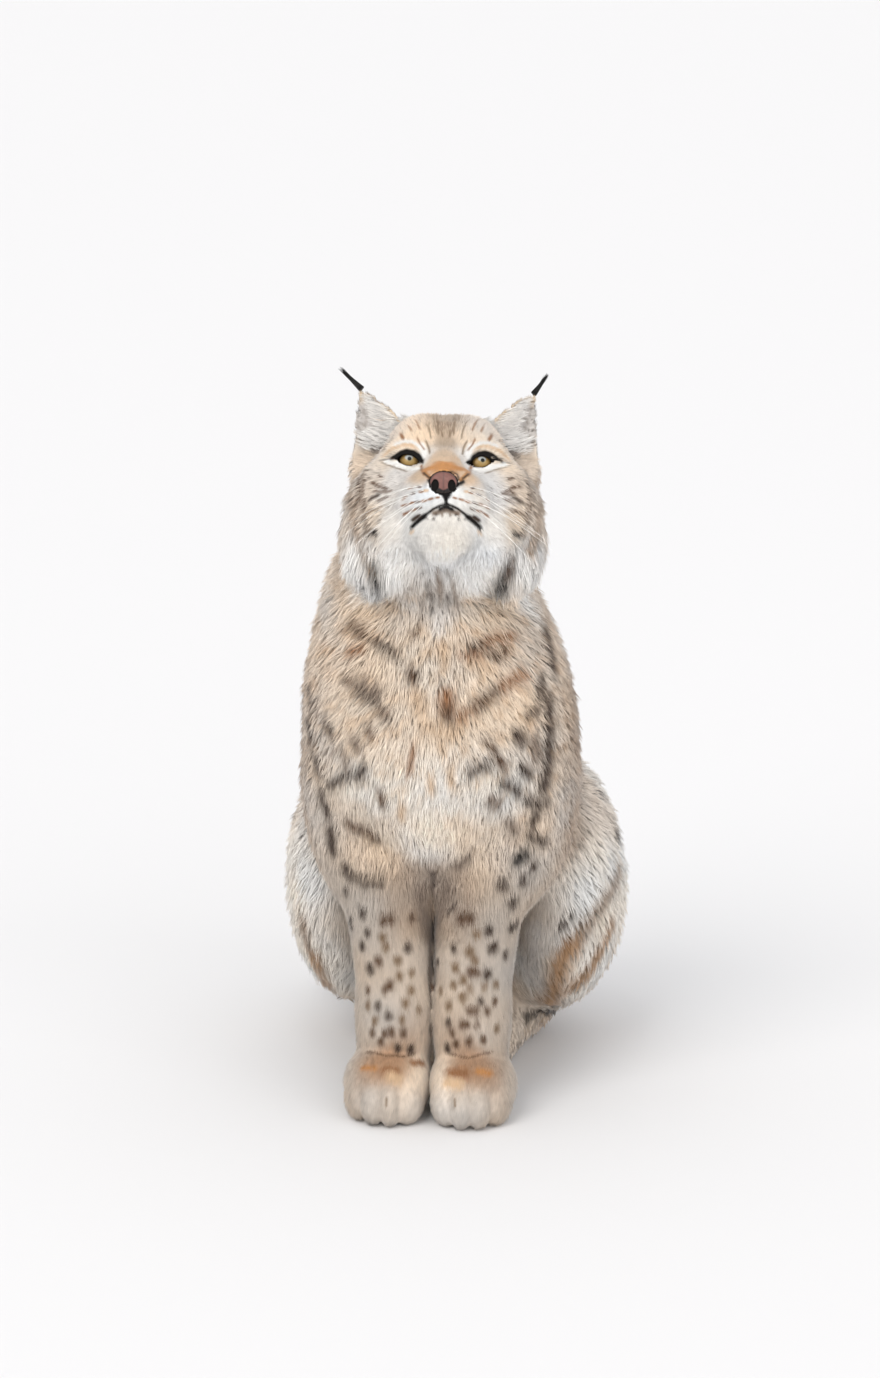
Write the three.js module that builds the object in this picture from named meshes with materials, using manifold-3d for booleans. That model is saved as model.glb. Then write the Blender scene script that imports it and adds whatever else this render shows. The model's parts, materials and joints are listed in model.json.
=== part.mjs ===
// Eurasian lynx sitting upright, head lifted, as a still life-size model.
// Millimetres, +Z up, the animal faces -Y. Its left side is +X.
// The solids give the outline of the winter coat out to the hair tips.
//
// The body is a field of named masses: eggs and tapered limbs that flow into each other. The field is
// turned into facets, finer round the face and paws, and divided where a person would name the parts.

import * as THREE from 'three';
import { mergeVertices } from 'three/addons/utils/BufferGeometryUtils.js';
import Module from 'manifold-3d';

const wasm = await Module();
wasm.setup();

// driving dimensions

const gap = 0.6;               // clear space between neighbouring parts
const earClear = 1.2;          // clear space round the foot of each ear
const eyeRadius = 14;
const eyeAt = [34, 0, -6];     // left eyeball's centre in the head's own frame
const noseAt = [0, -60, -48.5];
const noseSize = [16.5, 13, 13.5];
const headAt = [11, -12, 676.9];
const headPitch = 35.5;        // nose lifted
const headYaw = 6.5;           // turned a little to the animal's left
const headRoll = 1.5;
const foreShift = -3.5;        // the forelegs stand a little to the animal's right
const footTop = 74;            // height of the crease over the forepaws
const pawBack = 46;            // how far back the forepaws reach
const elbowTop = 262;          // where the forelegs leave the chest
const hindFootTop = 58;
const ear = { base: [66, 46, 25], tip: [89.5, 54, 97.5], inner: 37, outer: 24, cup: 17, thick: 7.5, turn: 16 };
const tuft = {
  leftLong: 20, rightLong: 26, root: 4.2, rise: 3, back: 5,
  leftWay: [0.53, 0.05, 0.82], rightWay: [-0.70, 0.05, 0.70],
};

// facet sizes
const cellHead = 12;
const cellNeck = 23;
const cellTrunk = 35;
const cellThigh = 31;
const cellForeleg = 20;
const cellForepaw = 14;
const cellHindFoot = 20;
const cellTail = 17;
const eyeFacets = [14, 10];    // round and from pole to pole
const cutFacets = [12, 8];
const shortEdge = 3;
const flatEnough = 0.15;       // how far closing a short edge may move a face

// Body masses. `mid` masses lie on the middle plane, the others are on both sides.
const trunkMasses = [
  { name: 'ribs', kind: 'egg', at: [0, 108, 352], size: [118, 112, 172], lean: 33, mid: true, blend: 1 },
  { name: 'loin', kind: 'egg', at: [0, 190, 245], size: [116, 108, 135], lean: 38, mid: true, blend: 60 },
  { name: 'rump', kind: 'egg', at: [0, 262, 118], size: [128, 104, 120], mid: true, blend: 60 },
  { name: 'breast', kind: 'egg', at: [0, 6, 378], size: [102, 80, 128], lean: 4, mid: true, blend: 50 },
  { name: 'brisket', kind: 'egg', at: [0, 40, 294], size: [68, 46, 72], mid: true, blend: 34 },
  { name: 'neck', kind: 'egg', at: [-10, 50, 500], size: [109, 98, 118], lean: 12, mid: true, blend: 60 },
  { name: 'shoulder', kind: 'egg', at: [72, 46, 392], size: [60, 78, 128], lean: 14, splay: -5, blend: 40 },
  { name: 'upperArm', kind: 'egg', at: [78, 42, 300], size: [50, 60, 88], lean: -10, blend: 36 },
];
const foreMasses = [
  { name: 'forearm', kind: 'limb', at: [48.5, 28, 275], to: [38, 16, 96], size: [49, 37], blend: 30 },
  { name: 'wrist', kind: 'limb', at: [38, 16, 100], to: [40.5, 6, 48], size: [37, 38], blend: 20 },
  { name: 'paw', kind: 'egg', at: [43, -10, 32], size: [45, 48, 43], blend: 5 },
  { name: 'toe1', kind: 'egg', at: [20, -38, 22], size: [17, 24, 24], turn: 8, blend: 4 },
  { name: 'toe2', kind: 'egg', at: [36, -46, 23], size: [16, 24, 25], turn: 2, blend: 3.5 },
  { name: 'toe3', kind: 'egg', at: [53, -44, 23], size: [16, 24, 25], turn: -6, blend: 3.5 },
  { name: 'toe4', kind: 'egg', at: [69, -32, 22], size: [16, 23, 24], turn: -14, blend: 3.5 },
];
const hindMasses = [
  { name: 'thigh', kind: 'egg', at: [112, 182, 190], size: [62, 108, 130], lean: 18, blend: 40 },
  { name: 'haunch', kind: 'egg', at: [96, 226, 132], size: [58, 90, 100], splay: 14, blend: 40 },
  { name: 'hock', kind: 'limb', at: [68, 256, 34], to: [44, 140, 29], size: [32, 29], blend: 16 },
  { name: 'hindPaw', kind: 'egg', at: [37, 106, 22], size: [31, 46, 28], blend: 12 },
  { name: 'hindToes', kind: 'egg', at: [36, 76, 18], size: [28, 25, 21], blend: 8 },
];
const tailMasses = [
  { name: 'tailRoot', kind: 'limb', at: [0, 338, 66], to: [-44, 378, 38], size: [36, 34], mid: true, blend: 24 },
  { name: 'tailEnd', kind: 'limb', at: [-44, 378, 34], to: [-118, 368, 29], size: [34, 30], mid: true, blend: 16 },
];
// Head masses in the head's own level frame, origin midway between the eyes, nose towards -Y.
const headMasses = [
  { name: 'cranium', kind: 'egg', at: [0, 46, -3], size: [70, 62, 50], mid: true, blend: 1 },
  { name: 'forehead', kind: 'egg', at: [0, 18, 14], size: [58, 36, 35], mid: true, blend: 16 },
  { name: 'crest', kind: 'egg', at: [20, 22, 26], size: [26, 28, 25], blend: 12 },
  { name: 'earRoot', kind: 'egg', at: [74, 56, 14], size: [18, 20, 34], splay: -6, blend: 12 },
  { name: 'occiput', kind: 'egg', at: [0, 84, -14], size: [76, 50, 56], mid: true, blend: 30 },
  { name: 'brow', kind: 'egg', at: [34, 4, 10], size: [21, 17, 9], lean: -10, splay: 8, blend: 10 },
  { name: 'cheek', kind: 'egg', at: [44, 24, -36], size: [44, 38, 44], blend: 22 },
  { name: 'bridge', kind: 'limb', at: [0, 8, 6], to: [0, -40, -34], size: [25, 17], mid: true, blend: 14 },
  { name: 'malar', kind: 'limb', at: [34, 4, -26], to: [20, -24, -48], size: [17, 19], blend: 16 },
  { name: 'muzzle', kind: 'egg', at: [0, -28, -52], size: [34, 30, 28], mid: true, blend: 14 },
  { name: 'pad', kind: 'egg', at: [19, -36, -62], size: [22, 20, 17], turn: 20, blend: 10 },
  { name: 'jowl', kind: 'egg', at: [38, 4, -74], size: [34, 30, 26], blend: 22 },
  { name: 'chin', kind: 'egg', at: [0, -31, -92], size: [29, 20, 19], mid: true, blend: 12 },
  { name: 'jaw', kind: 'egg', at: [0, 4, -86], size: [50, 40, 28], mid: true, blend: 22 },
  { name: 'ruff', kind: 'egg', at: [63, 38, -62], size: [34, 32, 54], splay: -9, blend: 26 },
  { name: 'ruffTip', kind: 'egg', at: [60, 24, -98], size: [26, 22, 34], splay: 8, blend: 20 },
  { name: 'gullet', kind: 'egg', at: [0, 40, -84], size: [66, 50, 50], mid: true, blend: 30 },
  { name: 'nose', kind: 'egg', at: [0, -53, -46], size: [16, 10, 13], lean: 16, mid: true, blend: 6 },
  { name: 'lids', kind: 'egg', at: eyeAt, size: [16.4, 16.4, 16.4], blend: 7 },
];

// the field of masses

const degrees = Math.PI / 180;

// Columns are the mass's own axes: lean tips its top forward, splay tips it outward, turn swings it.
function turnMatrix(lean = 0, splay = 0, turn = 0) {
  const m = new THREE.Matrix4().makeRotationX(lean * degrees);
  const y = new THREE.Matrix4().makeRotationY(splay * degrees);
  const z = new THREE.Matrix4().makeRotationZ(turn * degrees);
  return z.multiply(y).multiply(m).elements;
}

function smoothMin(a, b, k) {
  const h = Math.min(1, Math.max(0, 0.5 + 0.5 * (b - a) / k));
  return b + (a - b) * h - k * h * (1 - h);
}

function eggShape(mass) {
  const e = turnMatrix(mass.lean, mass.splay, mass.turn);
  const [rx, ry, rz] = mass.size;
  const [ax, ay, az] = mass.at;
  return (px, py, pz) => {
    const dx = px - ax, dy = py - ay, dz = pz - az;
    const x = (dx * e[0] + dy * e[1] + dz * e[2]) / rx;
    const y = (dx * e[4] + dy * e[5] + dz * e[6]) / ry;
    const z = (dx * e[8] + dy * e[9] + dz * e[10]) / rz;
    const k0 = Math.hypot(x, y, z);
    const k1 = Math.hypot(x / rx, y / ry, z / rz);
    return k0 < 1e-3 ? -Math.min(rx, ry, rz) : k0 * (k0 - 1) / k1;
  };
}

function limbShape(mass) {
  const [ax, ay, az] = mass.at;
  const bx = mass.to[0] - ax, by = mass.to[1] - ay, bz = mass.to[2] - az;
  const bb = bx * bx + by * by + bz * bz;
  return (px, py, pz) => {
    const dx = px - ax, dy = py - ay, dz = pz - az;
    const h = Math.min(1, Math.max(0, (dx * bx + dy * by + dz * bz) / bb));
    const thick = mass.size[0] + (mass.size[1] - mass.size[0]) * h;
    return Math.hypot(dx - h * bx, dy - h * by, dz - h * bz) - thick;
  };
}

// Joins masses smoothly. `soft` rounds the meeting of left and right at the middle plane.
function joined(masses, soft) {
  const shapeOf = (m) => (m.kind === 'egg' ? eggShape(m) : limbShape(m));
  const parts = masses.map((m) => ({ near: shapeOf(m), mid: m.mid, blend: m.blend }));
  return (x, y, z) => {
    const side = Math.sqrt(x * x + soft * soft) - soft * 0.6;
    let d = null;
    for (const part of parts) {
      const e = part.near(part.mid ? x : side, y, z);
      d = d === null ? e : smoothMin(d, e, part.blend);
    }
    return d;
  };
}

const trunkField = joined(trunkMasses, 6);
const foreFieldStraight = joined(foreMasses, 0.1);
const foreField = (x, y, z) => foreFieldStraight(x - foreShift, y, z);
const hindField = joined(hindMasses, 0.1);
const tailField = joined(tailMasses, 0.1);

const frontField = (x, y, z) => smoothMin(trunkField(x, y, z), foreField(x, y, z), 34);
const rearField = (x, y, z) => smoothMin(trunkField(x, y, z), hindField(x, y, z), 40);
const tailedField = (x, y, z) => smoothMin(rearField(x, y, z), tailField(x, y, z), 20);
const bodyField = (x, y, z) => smoothMin(frontField(x, y, z), rearField(x, y, z), 3);

// the head's frame

const headFrame = new THREE.Matrix4()
  .makeTranslation(...headAt)
  .multiply(new THREE.Matrix4().makeRotationZ(headYaw * degrees))
  .multiply(new THREE.Matrix4().makeRotationX(-headPitch * degrees))
  .multiply(new THREE.Matrix4().makeRotationY(headRoll * degrees));
const headInverse = headFrame.clone().invert().elements;
const headLevelField = joined(headMasses, 5);

function headField(x, y, z) {
  const e = headInverse;
  return headLevelField(
    e[0] * x + e[4] * y + e[8] * z + e[12],
    e[1] * x + e[5] * y + e[9] * z + e[13],
    e[2] * x + e[6] * y + e[10] * z + e[14],
  );
}

const wholeField = (x, y, z) => smoothMin(bodyField(x, y, z), headField(x, y, z), 30);

// from field to facets

// One point for each sheet of the surface in a lattice cell, one quad across each crossed lattice edge.
// `warp` maps even lattice coordinates to space, so that cells can be smaller where the form is fine.
// Where two folds meet inside one cell the lattice is moved a little and the work is done again.
function facets(field, low, high, cell, warp = (x, y, z) => [x, y, z]) {
  for (let shift = 0; shift < 12; shift++) {
    const from = low.map((v, c) => v - cell * ((shift * (0.27 + 0.11 * c)) % 1));
    const { points, triangles } = facetsFrom(field, from, high, cell, warp);
    const seen = new Set();
    let clean = true;
    for (let i = 0; i < triangles.length && clean; i += 3) for (let k = 0; k < 3; k++) {
      const edge = triangles[i + k] * 1e6 + triangles[i + (k + 1) % 3];
      if (seen.has(edge)) clean = false;
      seen.add(edge);
    }
    if (clean) return solid(new Float32Array(points), new Uint32Array(triangles));
  }
  throw new Error('no clean lattice');
}

// The twelve edges of a cell as pairs of its corners 0 to 7, four along each axis, and its six faces.
const cellEdges = [
  [0, 1], [2, 3], [4, 5], [6, 7], [0, 2], [1, 3], [4, 6], [5, 7], [0, 4], [1, 5], [2, 6], [3, 7],
];
const cellFaces = [0, 1, 2].flatMap((axis) => [0, 1].map((end) => {
  const corners = [0, 1, 2, 3, 4, 5, 6, 7].filter((c) => ((c >> axis) & 1) === end);
  const edges = cellEdges.flatMap(([a, b], n) => (corners.includes(a) && corners.includes(b) ? [n] : []));
  return { corners, edges };
}));

// Which of a cell's crossed edges lie on the same sheet of the surface: one label for each edge, or -1.
function sheetsOf(inside) {
  const crossed = cellEdges.map(([a, b]) => inside[a] !== inside[b]);
  const label = crossed.map((c, n) => (c ? n : -1));
  const join = (m, n) => {
    const [a, b] = [label[m], label[n]];
    if (a !== b) label.forEach((v, i) => { if (v === b) label[i] = a; });
  };
  for (const { corners, edges } of cellFaces) {
    const here = edges.filter((n) => crossed[n]);
    if (here.length === 2) join(here[0], here[1]);
    if (here.length === 4) {
      for (const c of corners) {
        if (inside[c]) join(...here.filter((n) => cellEdges[n].includes(c)));
      }
    }
  }
  return label;
}

function facetsFrom(field, low, high, cell, warp) {
  const count = [0, 1, 2].map((i) => Math.ceil((high[i] - low[i]) / cell) + 1);
  const [nx, ny, nz] = count;
  const index = (i, j, k) => i + nx * (j + ny * k);
  const places = new Float64Array(nx * ny * nz * 3);
  const values = new Float64Array(nx * ny * nz);
  for (let k = 0; k < nz; k++) for (let j = 0; j < ny; j++) for (let i = 0; i < nx; i++) {
    const p = warp(low[0] + i * cell, low[1] + j * cell, low[2] + k * cell);
    const n = index(i, j, k);
    places.set(p, 3 * n);
    values[n] = field(...p) || 1e-9;
  }
  const corners = [0, 1, 2, 3, 4, 5, 6, 7].map((c) => index(c & 1, (c >> 1) & 1, c >> 2));
  const pointsOf = new Map();
  const points = [];
  for (let k = 0; k < nz - 1; k++) for (let j = 0; j < ny - 1; j++) for (let i = 0; i < nx - 1; i++) {
    const base = index(i, j, k);
    const inside = corners.map((c) => values[base + c] < 0);
    if (inside.every((v) => v === inside[0])) continue;
    const label = sheetsOf(inside);
    const numbers = new Int32Array(12).fill(-1);
    for (const sheet of new Set(label.filter((v) => v >= 0))) {
      const mine = label.flatMap((v, n) => (v === sheet ? [n] : []));
      const sum = [0, 0, 0];
      for (const n of mine) {
        const p = base + corners[cellEdges[n][0]], q = base + corners[cellEdges[n][1]];
        const t = values[p] / (values[p] - values[q]);
        for (let c = 0; c < 3; c++) sum[c] += places[3 * p + c] + t * (places[3 * q + c] - places[3 * p + c]);
        numbers[n] = points.length / 3;
      }
      points.push(...ontoSurface(field, sum.map((v) => v / mine.length), cell));
    }
    pointsOf.set(base, numbers);
  }
  const triangles = [];
  const steps = [1, nx, nx * ny];
  for (let k = 1; k < nz - 1; k++) for (let j = 1; j < ny - 1; j++) for (let i = 1; i < nx - 1; i++) {
    const n = index(i, j, k);
    for (let axis = 0; axis < 3; axis++) {
      const inside = values[n] < 0;
      if (inside === (values[n + steps[axis]] < 0)) continue;
      const u = (axis + 1) % 3, v = (axis + 2) % 3;
      const pointIn = (back, corner) => {
        const edge = cellEdges.findIndex(([a, b]) => a === corner && b === corner + (1 << axis));
        return pointsOf.get(n - back)[edge];
      };
      const ring = [
        pointIn(0, 0), pointIn(steps[u], 1 << u),
        pointIn(steps[u] + steps[v], (1 << u) + (1 << v)), pointIn(steps[v], 1 << v),
      ];
      if (inside) ring.reverse();
      // the shorter diagonal bends the quad least
      const part = (a, b, c) => points[3 * ring[a] + c] - points[3 * ring[b] + c];
      const far = (a, b) => Math.hypot(part(a, b, 0), part(a, b, 1), part(a, b, 2));
      if (far(0, 2) <= far(1, 3)) triangles.push(ring[0], ring[2], ring[1], ring[0], ring[3], ring[2]);
      else triangles.push(ring[1], ring[3], ring[2], ring[1], ring[0], ring[3]);
    }
  }
  return { points, triangles };
}

// The part of a field inside a box, closed at the box's walls.
function facetsInBox(field, low, high, cell) {
  const closed = (x, y, z) => Math.max(
    field(x, y, z), low[0] - x, x - high[0], low[1] - y, y - high[1], low[2] - z, z - high[2],
  );
  return facets(closed, low.map((v) => v - 1.4 * cell), high.map((v) => v + 1.4 * cell), cell);
}

// Two short steps along the slope bring a cell's point onto the surface.
function ontoSurface(field, p, cell) {
  const h = 0.5;
  for (let pass = 0; pass < 2; pass++) {
    const d = field(...p);
    const g = [0, 1, 2].map((c) => {
      const a = [...p], b = [...p];
      a[c] += h;
      b[c] -= h;
      return (field(...a) - field(...b)) / (2 * h);
    });
    const slope = Math.max(0.3, g[0] * g[0] + g[1] * g[1] + g[2] * g[2]);
    const reach = Math.max(-0.4 * cell, Math.min(0.4 * cell, d)) / slope;
    p = p.map((v, c) => v - g[c] * reach);
  }
  return p;
}

function solid(vertProperties, triVerts) {
  return new wasm.Manifold(new wasm.Mesh({ numProp: 3, vertProperties, triVerts }));
}

function solidOf(geometry, matrix = null) {
  const bare = geometry.clone();
  for (const name of Object.keys(bare.attributes)) if (name !== 'position') bare.deleteAttribute(name);
  const merged = mergeVertices(bare, 1e-4);
  if (matrix) merged.applyMatrix4(matrix);
  return solid(new Float32Array(merged.attributes.position.array), new Uint32Array(merged.index.array));
}

const boxCutter = (low, high) => solidOf(
  new THREE.BoxGeometry(high[0] - low[0], high[1] - low[1], high[2] - low[2]),
  new THREE.Matrix4().makeTranslation((low[0] + high[0]) / 2, (low[1] + high[1]) / 2, (low[2] + high[2]) / 2),
);

// A big block whose bottom face passes through `at`; `tilt` lowers its front edge, in degrees.
function aboveCutter(at, tilt) {
  const place = new THREE.Matrix4().makeTranslation(...at)
    .multiply(new THREE.Matrix4().makeRotationX(tilt * degrees))
    .multiply(new THREE.Matrix4().makeTranslation(0, 0, 500));
  return solidOf(new THREE.BoxGeometry(1400, 1400, 1000), place);
}

const ballCutter = (at, radii, turn = null, grain = cutFacets) => solidOf(
  new THREE.SphereGeometry(1, ...grain),
  new THREE.Matrix4().makeTranslation(...at)
    .multiply(turn ?? new THREE.Matrix4())
    .multiply(new THREE.Matrix4().makeScale(...radii)),
);

// A tapered round bar from a to b.
function barCutter(a, b, radiusA, radiusB) {
  const from = new THREE.Vector3(...a), to = new THREE.Vector3(...b);
  const long = from.distanceTo(to);
  const way = to.clone().sub(from).normalize();
  const turn = new THREE.Quaternion().setFromUnitVectors(new THREE.Vector3(0, 1, 0), way);
  const place = new THREE.Matrix4().compose(from.clone().lerp(to, 0.5), turn, new THREE.Vector3(1, 1, 1));
  return solidOf(new THREE.CylinderGeometry(radiusB, radiusA, long, 10), place);
}

const mirrorX = (p) => [-p[0], p[1], p[2]];
const placed = (p) => new THREE.Vector3(...p).applyMatrix4(headFrame).toArray();

// where the parts are divided

const aboveFloor = boxCutter([-700, -700, 0], [700, 900, 1400]);
const headLineAt = [0, -60, 562];
const headTilt = 26.5;
const headLine = (shift) => aboveCutter([0, headLineAt[1], headLineAt[2] + shift], headTilt);
const neckLine = (shift) => aboveCutter([0, -75, 458 + shift], 15);
const rumpLine = (shift) => aboveCutter([0, 0, 205 + shift], 12);

function foreRegion(side, grow) {
  const x = (v) => side * v + foreShift;
  const bar = barCutter([x(53), 38, 320], [x(40), 10, 20], 66 + grow, 56 + grow);
  const box = side > 0
    ? boxCutter([foreShift + gap / 2 - grow, -120, footTop + gap / 2 - grow], [200, 160, elbowTop + grow])
    : boxCutter([-200, -120, footTop + gap / 2 - grow], [foreShift - gap / 2 + grow, 160, elbowTop + grow]);
  return bar.intersect(box);
}

function thighRegion(side, grow) {
  const lean = new THREE.Matrix4().makeRotationX(16 * degrees);
  const ball = ballCutter([side * 124, 190, 168], [84 + grow, 134 + grow, 158 + grow], lean, [16, 10]);
  return ball.intersect(boxCutter([-400, -200, hindFootTop + gap / 2 - grow], [400, 700, 700]));
}

function hindFootRegion(side, grow) {
  const bar = barCutter([side * 78, 330, 31], [side * 32, 20, 22], 43 + grow, 38 + grow);
  const inner = 2 * gap - grow;
  const low = [side > 0 ? inner : -150, pawBack + gap / 2 - grow, -20];
  const high = [side > 0 ? 150 : -inner, 296 + grow, hindFootTop - gap / 2 + grow];
  return bar.intersect(boxCutter(low, high));
}

function tailRegion(grow) {
  const end = 40 + grow;
  return barCutter([-10, 360, 58], [-50, 382, 34], 44 + grow, end)
    .add(ballCutter([-50, 382, 34], [end + 3, end + 3, end + 3]))
    .add(barCutter([-50, 382, 34], [-170, 362, 30], end, end));
}

// the parts

function material(color, roughness, metalness = 0) {
  return new THREE.MeshStandardMaterial({ color, roughness, metalness });
}

// A cut leaves very short edges. Each one is closed up onto its sharper end, where that keeps the body
// closed, moves no face by more than `flatEnough` and turns no facet over.
function withoutSlivers(mesh) {
  const points = [];
  for (let i = 0; i < mesh.numVert; i++) {
    points.push(new THREE.Vector3().fromArray(mesh.vertProperties, i * mesh.numProp));
  }
  let triangles = [];
  for (let i = 0; i < mesh.triVerts.length; i += 3) triangles.push([...mesh.triVerts.slice(i, i + 3)]);
  const normalOf = (a, b, c) => b.clone().sub(a).cross(c.clone().sub(a)).normalize();
  for (let pass = 0; pass < 12; pass++) {
    const around = points.map(() => []);
    triangles.forEach((t, n) => t.forEach((v) => around[v].push(n)));
    const normals = triangles.map((t) => normalOf(...t.map((v) => points[v])));
    const sharpness = (v) => {
      let least = 1;
      for (const a of around[v]) for (const b of around[v]) least = Math.min(least, normals[a].dot(normals[b]));
      return 1 - least;
    };
    const short = [];
    triangles.forEach((t) => t.forEach((a, i) => {
      const b = t[(i + 1) % 3];
      if (a < b && points[a].distanceTo(points[b]) < shortEdge) short.push([a, b]);
    }));
    if (!short.length) break;
    const touched = new Set();
    const long = ([a, b]) => points[a].distanceTo(points[b]);
    for (const [a, b] of short.sort((s, t) => long(s) - long(t))) {
      const ring = [...around[a], ...around[b]];
      if (ring.some((n) => triangles[n].some((v) => touched.has(v)))) continue;
      const next = (v) => new Set(around[v].flatMap((n) => triangles[n]).filter((w) => w !== a && w !== b));
      const nextB = next(b);
      if ([...next(a)].filter((v) => nextB.has(v)).length !== 2) continue;
      const [keep, drop] = sharpness(a) >= sharpness(b) ? [a, b] : [b, a];
      const step = points[keep].clone().sub(points[drop]);
      if (around[drop].some((n) => Math.abs(step.dot(normals[n])) > flatEnough)) continue;
      const turned = around[drop].some((n) => {
        const t = triangles[n];
        if (t.includes(keep)) return false;
        const after = normalOf(...t.map((v) => points[v === drop ? keep : v]));
        return !(after.dot(normals[n]) > 0.7);
      });
      if (turned) continue;
      ring.forEach((n) => triangles[n].forEach((v) => touched.add(v)));
      around[drop].forEach((n) => { triangles[n] = triangles[n].map((v) => (v === drop ? keep : v)); });
    }
    triangles = triangles.filter((t) => new Set(t).size === 3);
  }
  const used = [...new Set(triangles.flat())];
  const place = new Map(used.map((v, i) => [v, i]));
  return { points: used.map((v) => points[v]), triangles: triangles.map((t) => t.map((v) => place.get(v))) };
}

function meshOf(name, body, surface) {
  // loose crumbs left by a cut are dropped
  const pieces = body.decompose().sort((a, b) => b.volume() - a.volume());
  const { points, triangles } = withoutSlivers(pieces[0].getMesh());
  const geometry = new THREE.BufferGeometry();
  const positions = new Float32Array(points.flatMap((v) => v.toArray()));
  geometry.setAttribute('position', new THREE.BufferAttribute(positions, 3));
  geometry.setIndex(new THREE.BufferAttribute(new Uint32Array(triangles.flat()), 1));
  geometry.computeVertexNormals();
  const made = new THREE.Mesh(geometry, surface);
  made.name = name;
  return made;
}

// Cells grow away from the face, so that muzzle and lids are the finest.
function headSolid(grow = 0) {
  const centre = placed([0, -20, -40]);
  const warp = (x, y, z) => {
    const r = Math.hypot(x, y, z);
    const s = Math.sqrt(1 + (r / 105) ** 2);
    return [centre[0] + x * s, centre[1] + y * s, centre[2] + z * s];
  };
  const reach = 140;
  const s = Math.sin(headTilt * degrees), c = Math.cos(headTilt * degrees);
  // closed a little below the line where the head is parted from the neck
  const field = (x, y, z) => Math.max(
    wholeField(x, y, z) - grow, s * (y - headLineAt[1]) - c * (z - headLineAt[2]) - 22, y - 185,
  );
  return facets(field, [-reach, -reach, -reach], [reach, reach, reach], cellHead, warp);
}

const wholeHead = headSolid();

const headTurn = new THREE.Matrix4().extractRotation(headFrame);
const noseRegion = (grow) => ballCutter(placed(noseAt), noseSize.map((v) => v + grow), headTurn);

function head() {
  let body = wholeHead.intersect(headLine(gap / 2)).subtract(noseRegion(gap));
  for (const side of [1, -1]) {
    const at = placed([side * eyeAt[0], eyeAt[1], eyeAt[2]]);
    const room = eyeRadius + gap;
    body = body.subtract(ballCutter(at, [room, room, room], null, eyeFacets)).subtract(lidOpening(side));
  }
  return meshOf('head', body, material(0xc9b8a2, 0.9));
}

// The almond shaped opening between the lids, its outer corner higher.
function lidOpening(side) {
  const slant = new THREE.Matrix4().extractRotation(headFrame)
    .multiply(new THREE.Matrix4().makeRotationZ(side * 11 * degrees))
    .multiply(new THREE.Matrix4().makeRotationY(-side * 9 * degrees));
  const at = placed([side * (eyeAt[0] + 2.7), eyeAt[1] - eyeRadius, eyeAt[2] + 0.5]);
  return ballCutter(at, [13, 7, 6.6], slant);
}

function nose() {
  return meshOf('nose', wholeHead.intersect(noseRegion(0)), material(0x7a5650, 0.45));
}

function eye(side, name) {
  const made = new THREE.Mesh(new THREE.SphereGeometry(eyeRadius, ...eyeFacets), material(0xb98a3e, 0.1));
  made.name = name;
  made.position.set(...placed([side * eyeAt[0], eyeAt[1], eyeAt[2]]));
  return made;
}

// The ear's own axes in the head frame: up to the tip, out to the side, forward out of the cup.
function earAxes() {
  const base = new THREE.Vector3(...ear.base);
  const up = new THREE.Vector3(...ear.tip).sub(base);
  const tall = up.length();
  up.normalize();
  const side = new THREE.Vector3(0.657, 0, -0.757);
  side.addScaledVector(up, -side.dot(up)).normalize();
  const front = side.clone().cross(up);
  const c = Math.cos(ear.turn * degrees), s = Math.sin(ear.turn * degrees);
  const turnedSide = side.clone().multiplyScalar(c).addScaledVector(front, -s);
  const turnedFront = front.clone().multiplyScalar(c).addScaledVector(side, s);
  return { base, up, side: turnedSide, front: turnedFront, tall };
}

function earPoint(axes, t, u, skin) {
  const along = Math.max(0, t);
  const half = (u > 0 ? ear.outer * (1 - along ** 1.5) ** 0.85 : ear.inner * (1 - along ** 1.5) ** 0.8) + 0.5;
  const cup = ear.cup * (1 - 0.55 * along);
  const thick = ear.thick * (1 - 0.35 * along) / 2;
  const rim = Math.sqrt(Math.max(0, 1 - u ** 4));
  const bow = -cup * (1 - u * u) + 7 * (1 - along) + skin * (0.6 + thick * rim);
  return axes.base.clone().addScaledVector(axes.up, t * axes.tall)
    .addScaledVector(axes.side, u * half).addScaledVector(axes.front, bow).toArray();
}

// A cupped leaf: rings of points round the ear, from inside the skull up to the tip, closed at both ends.
function earSolid(side) {
  const axes = earAxes();
  const across = 6, rings = 8;
  const points = [];
  for (let r = 0; r < rings; r++) {
    const t = -0.24 + 1.235 * r / (rings - 1);
    for (let i = 0; i <= across; i++) points.push(earPoint(axes, t, -1 + 2 * i / across, 1));
    for (let i = across; i >= 0; i--) points.push(earPoint(axes, t, -1 + 2 * i / across, -1));
  }
  const size = 2 * (across + 1);
  const triangles = [];
  for (let r = 0; r < rings - 1; r++) for (let i = 0; i < size; i++) {
    const a = r * size + i, b = r * size + (i + 1) % size;
    triangles.push(a, b, b + size, a, b + size, a + size);
  }
  for (let i = 0; i < across; i++) {
    // front and back points across from each other close the ends
    const f = i, g = size - 1 - i, top = (rings - 1) * size;
    triangles.push(f, g, g - 1, f, g - 1, f + 1);
    triangles.push(top + f, top + g - 1, top + g, top + f, top + f + 1, top + g - 1);
  }
  const positions = new Float32Array(points.length * 3);
  points.forEach((p, i) => positions.set(placed(side > 0 ? p : mirrorX(p)), 3 * i));
  for (let i = 0; side < 0 && i < triangles.length; i += 3) {
    [triangles[i + 1], triangles[i + 2]] = [triangles[i + 2], triangles[i + 1]];
  }
  return solid(positions, new Uint32Array(triangles));
}

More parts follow.
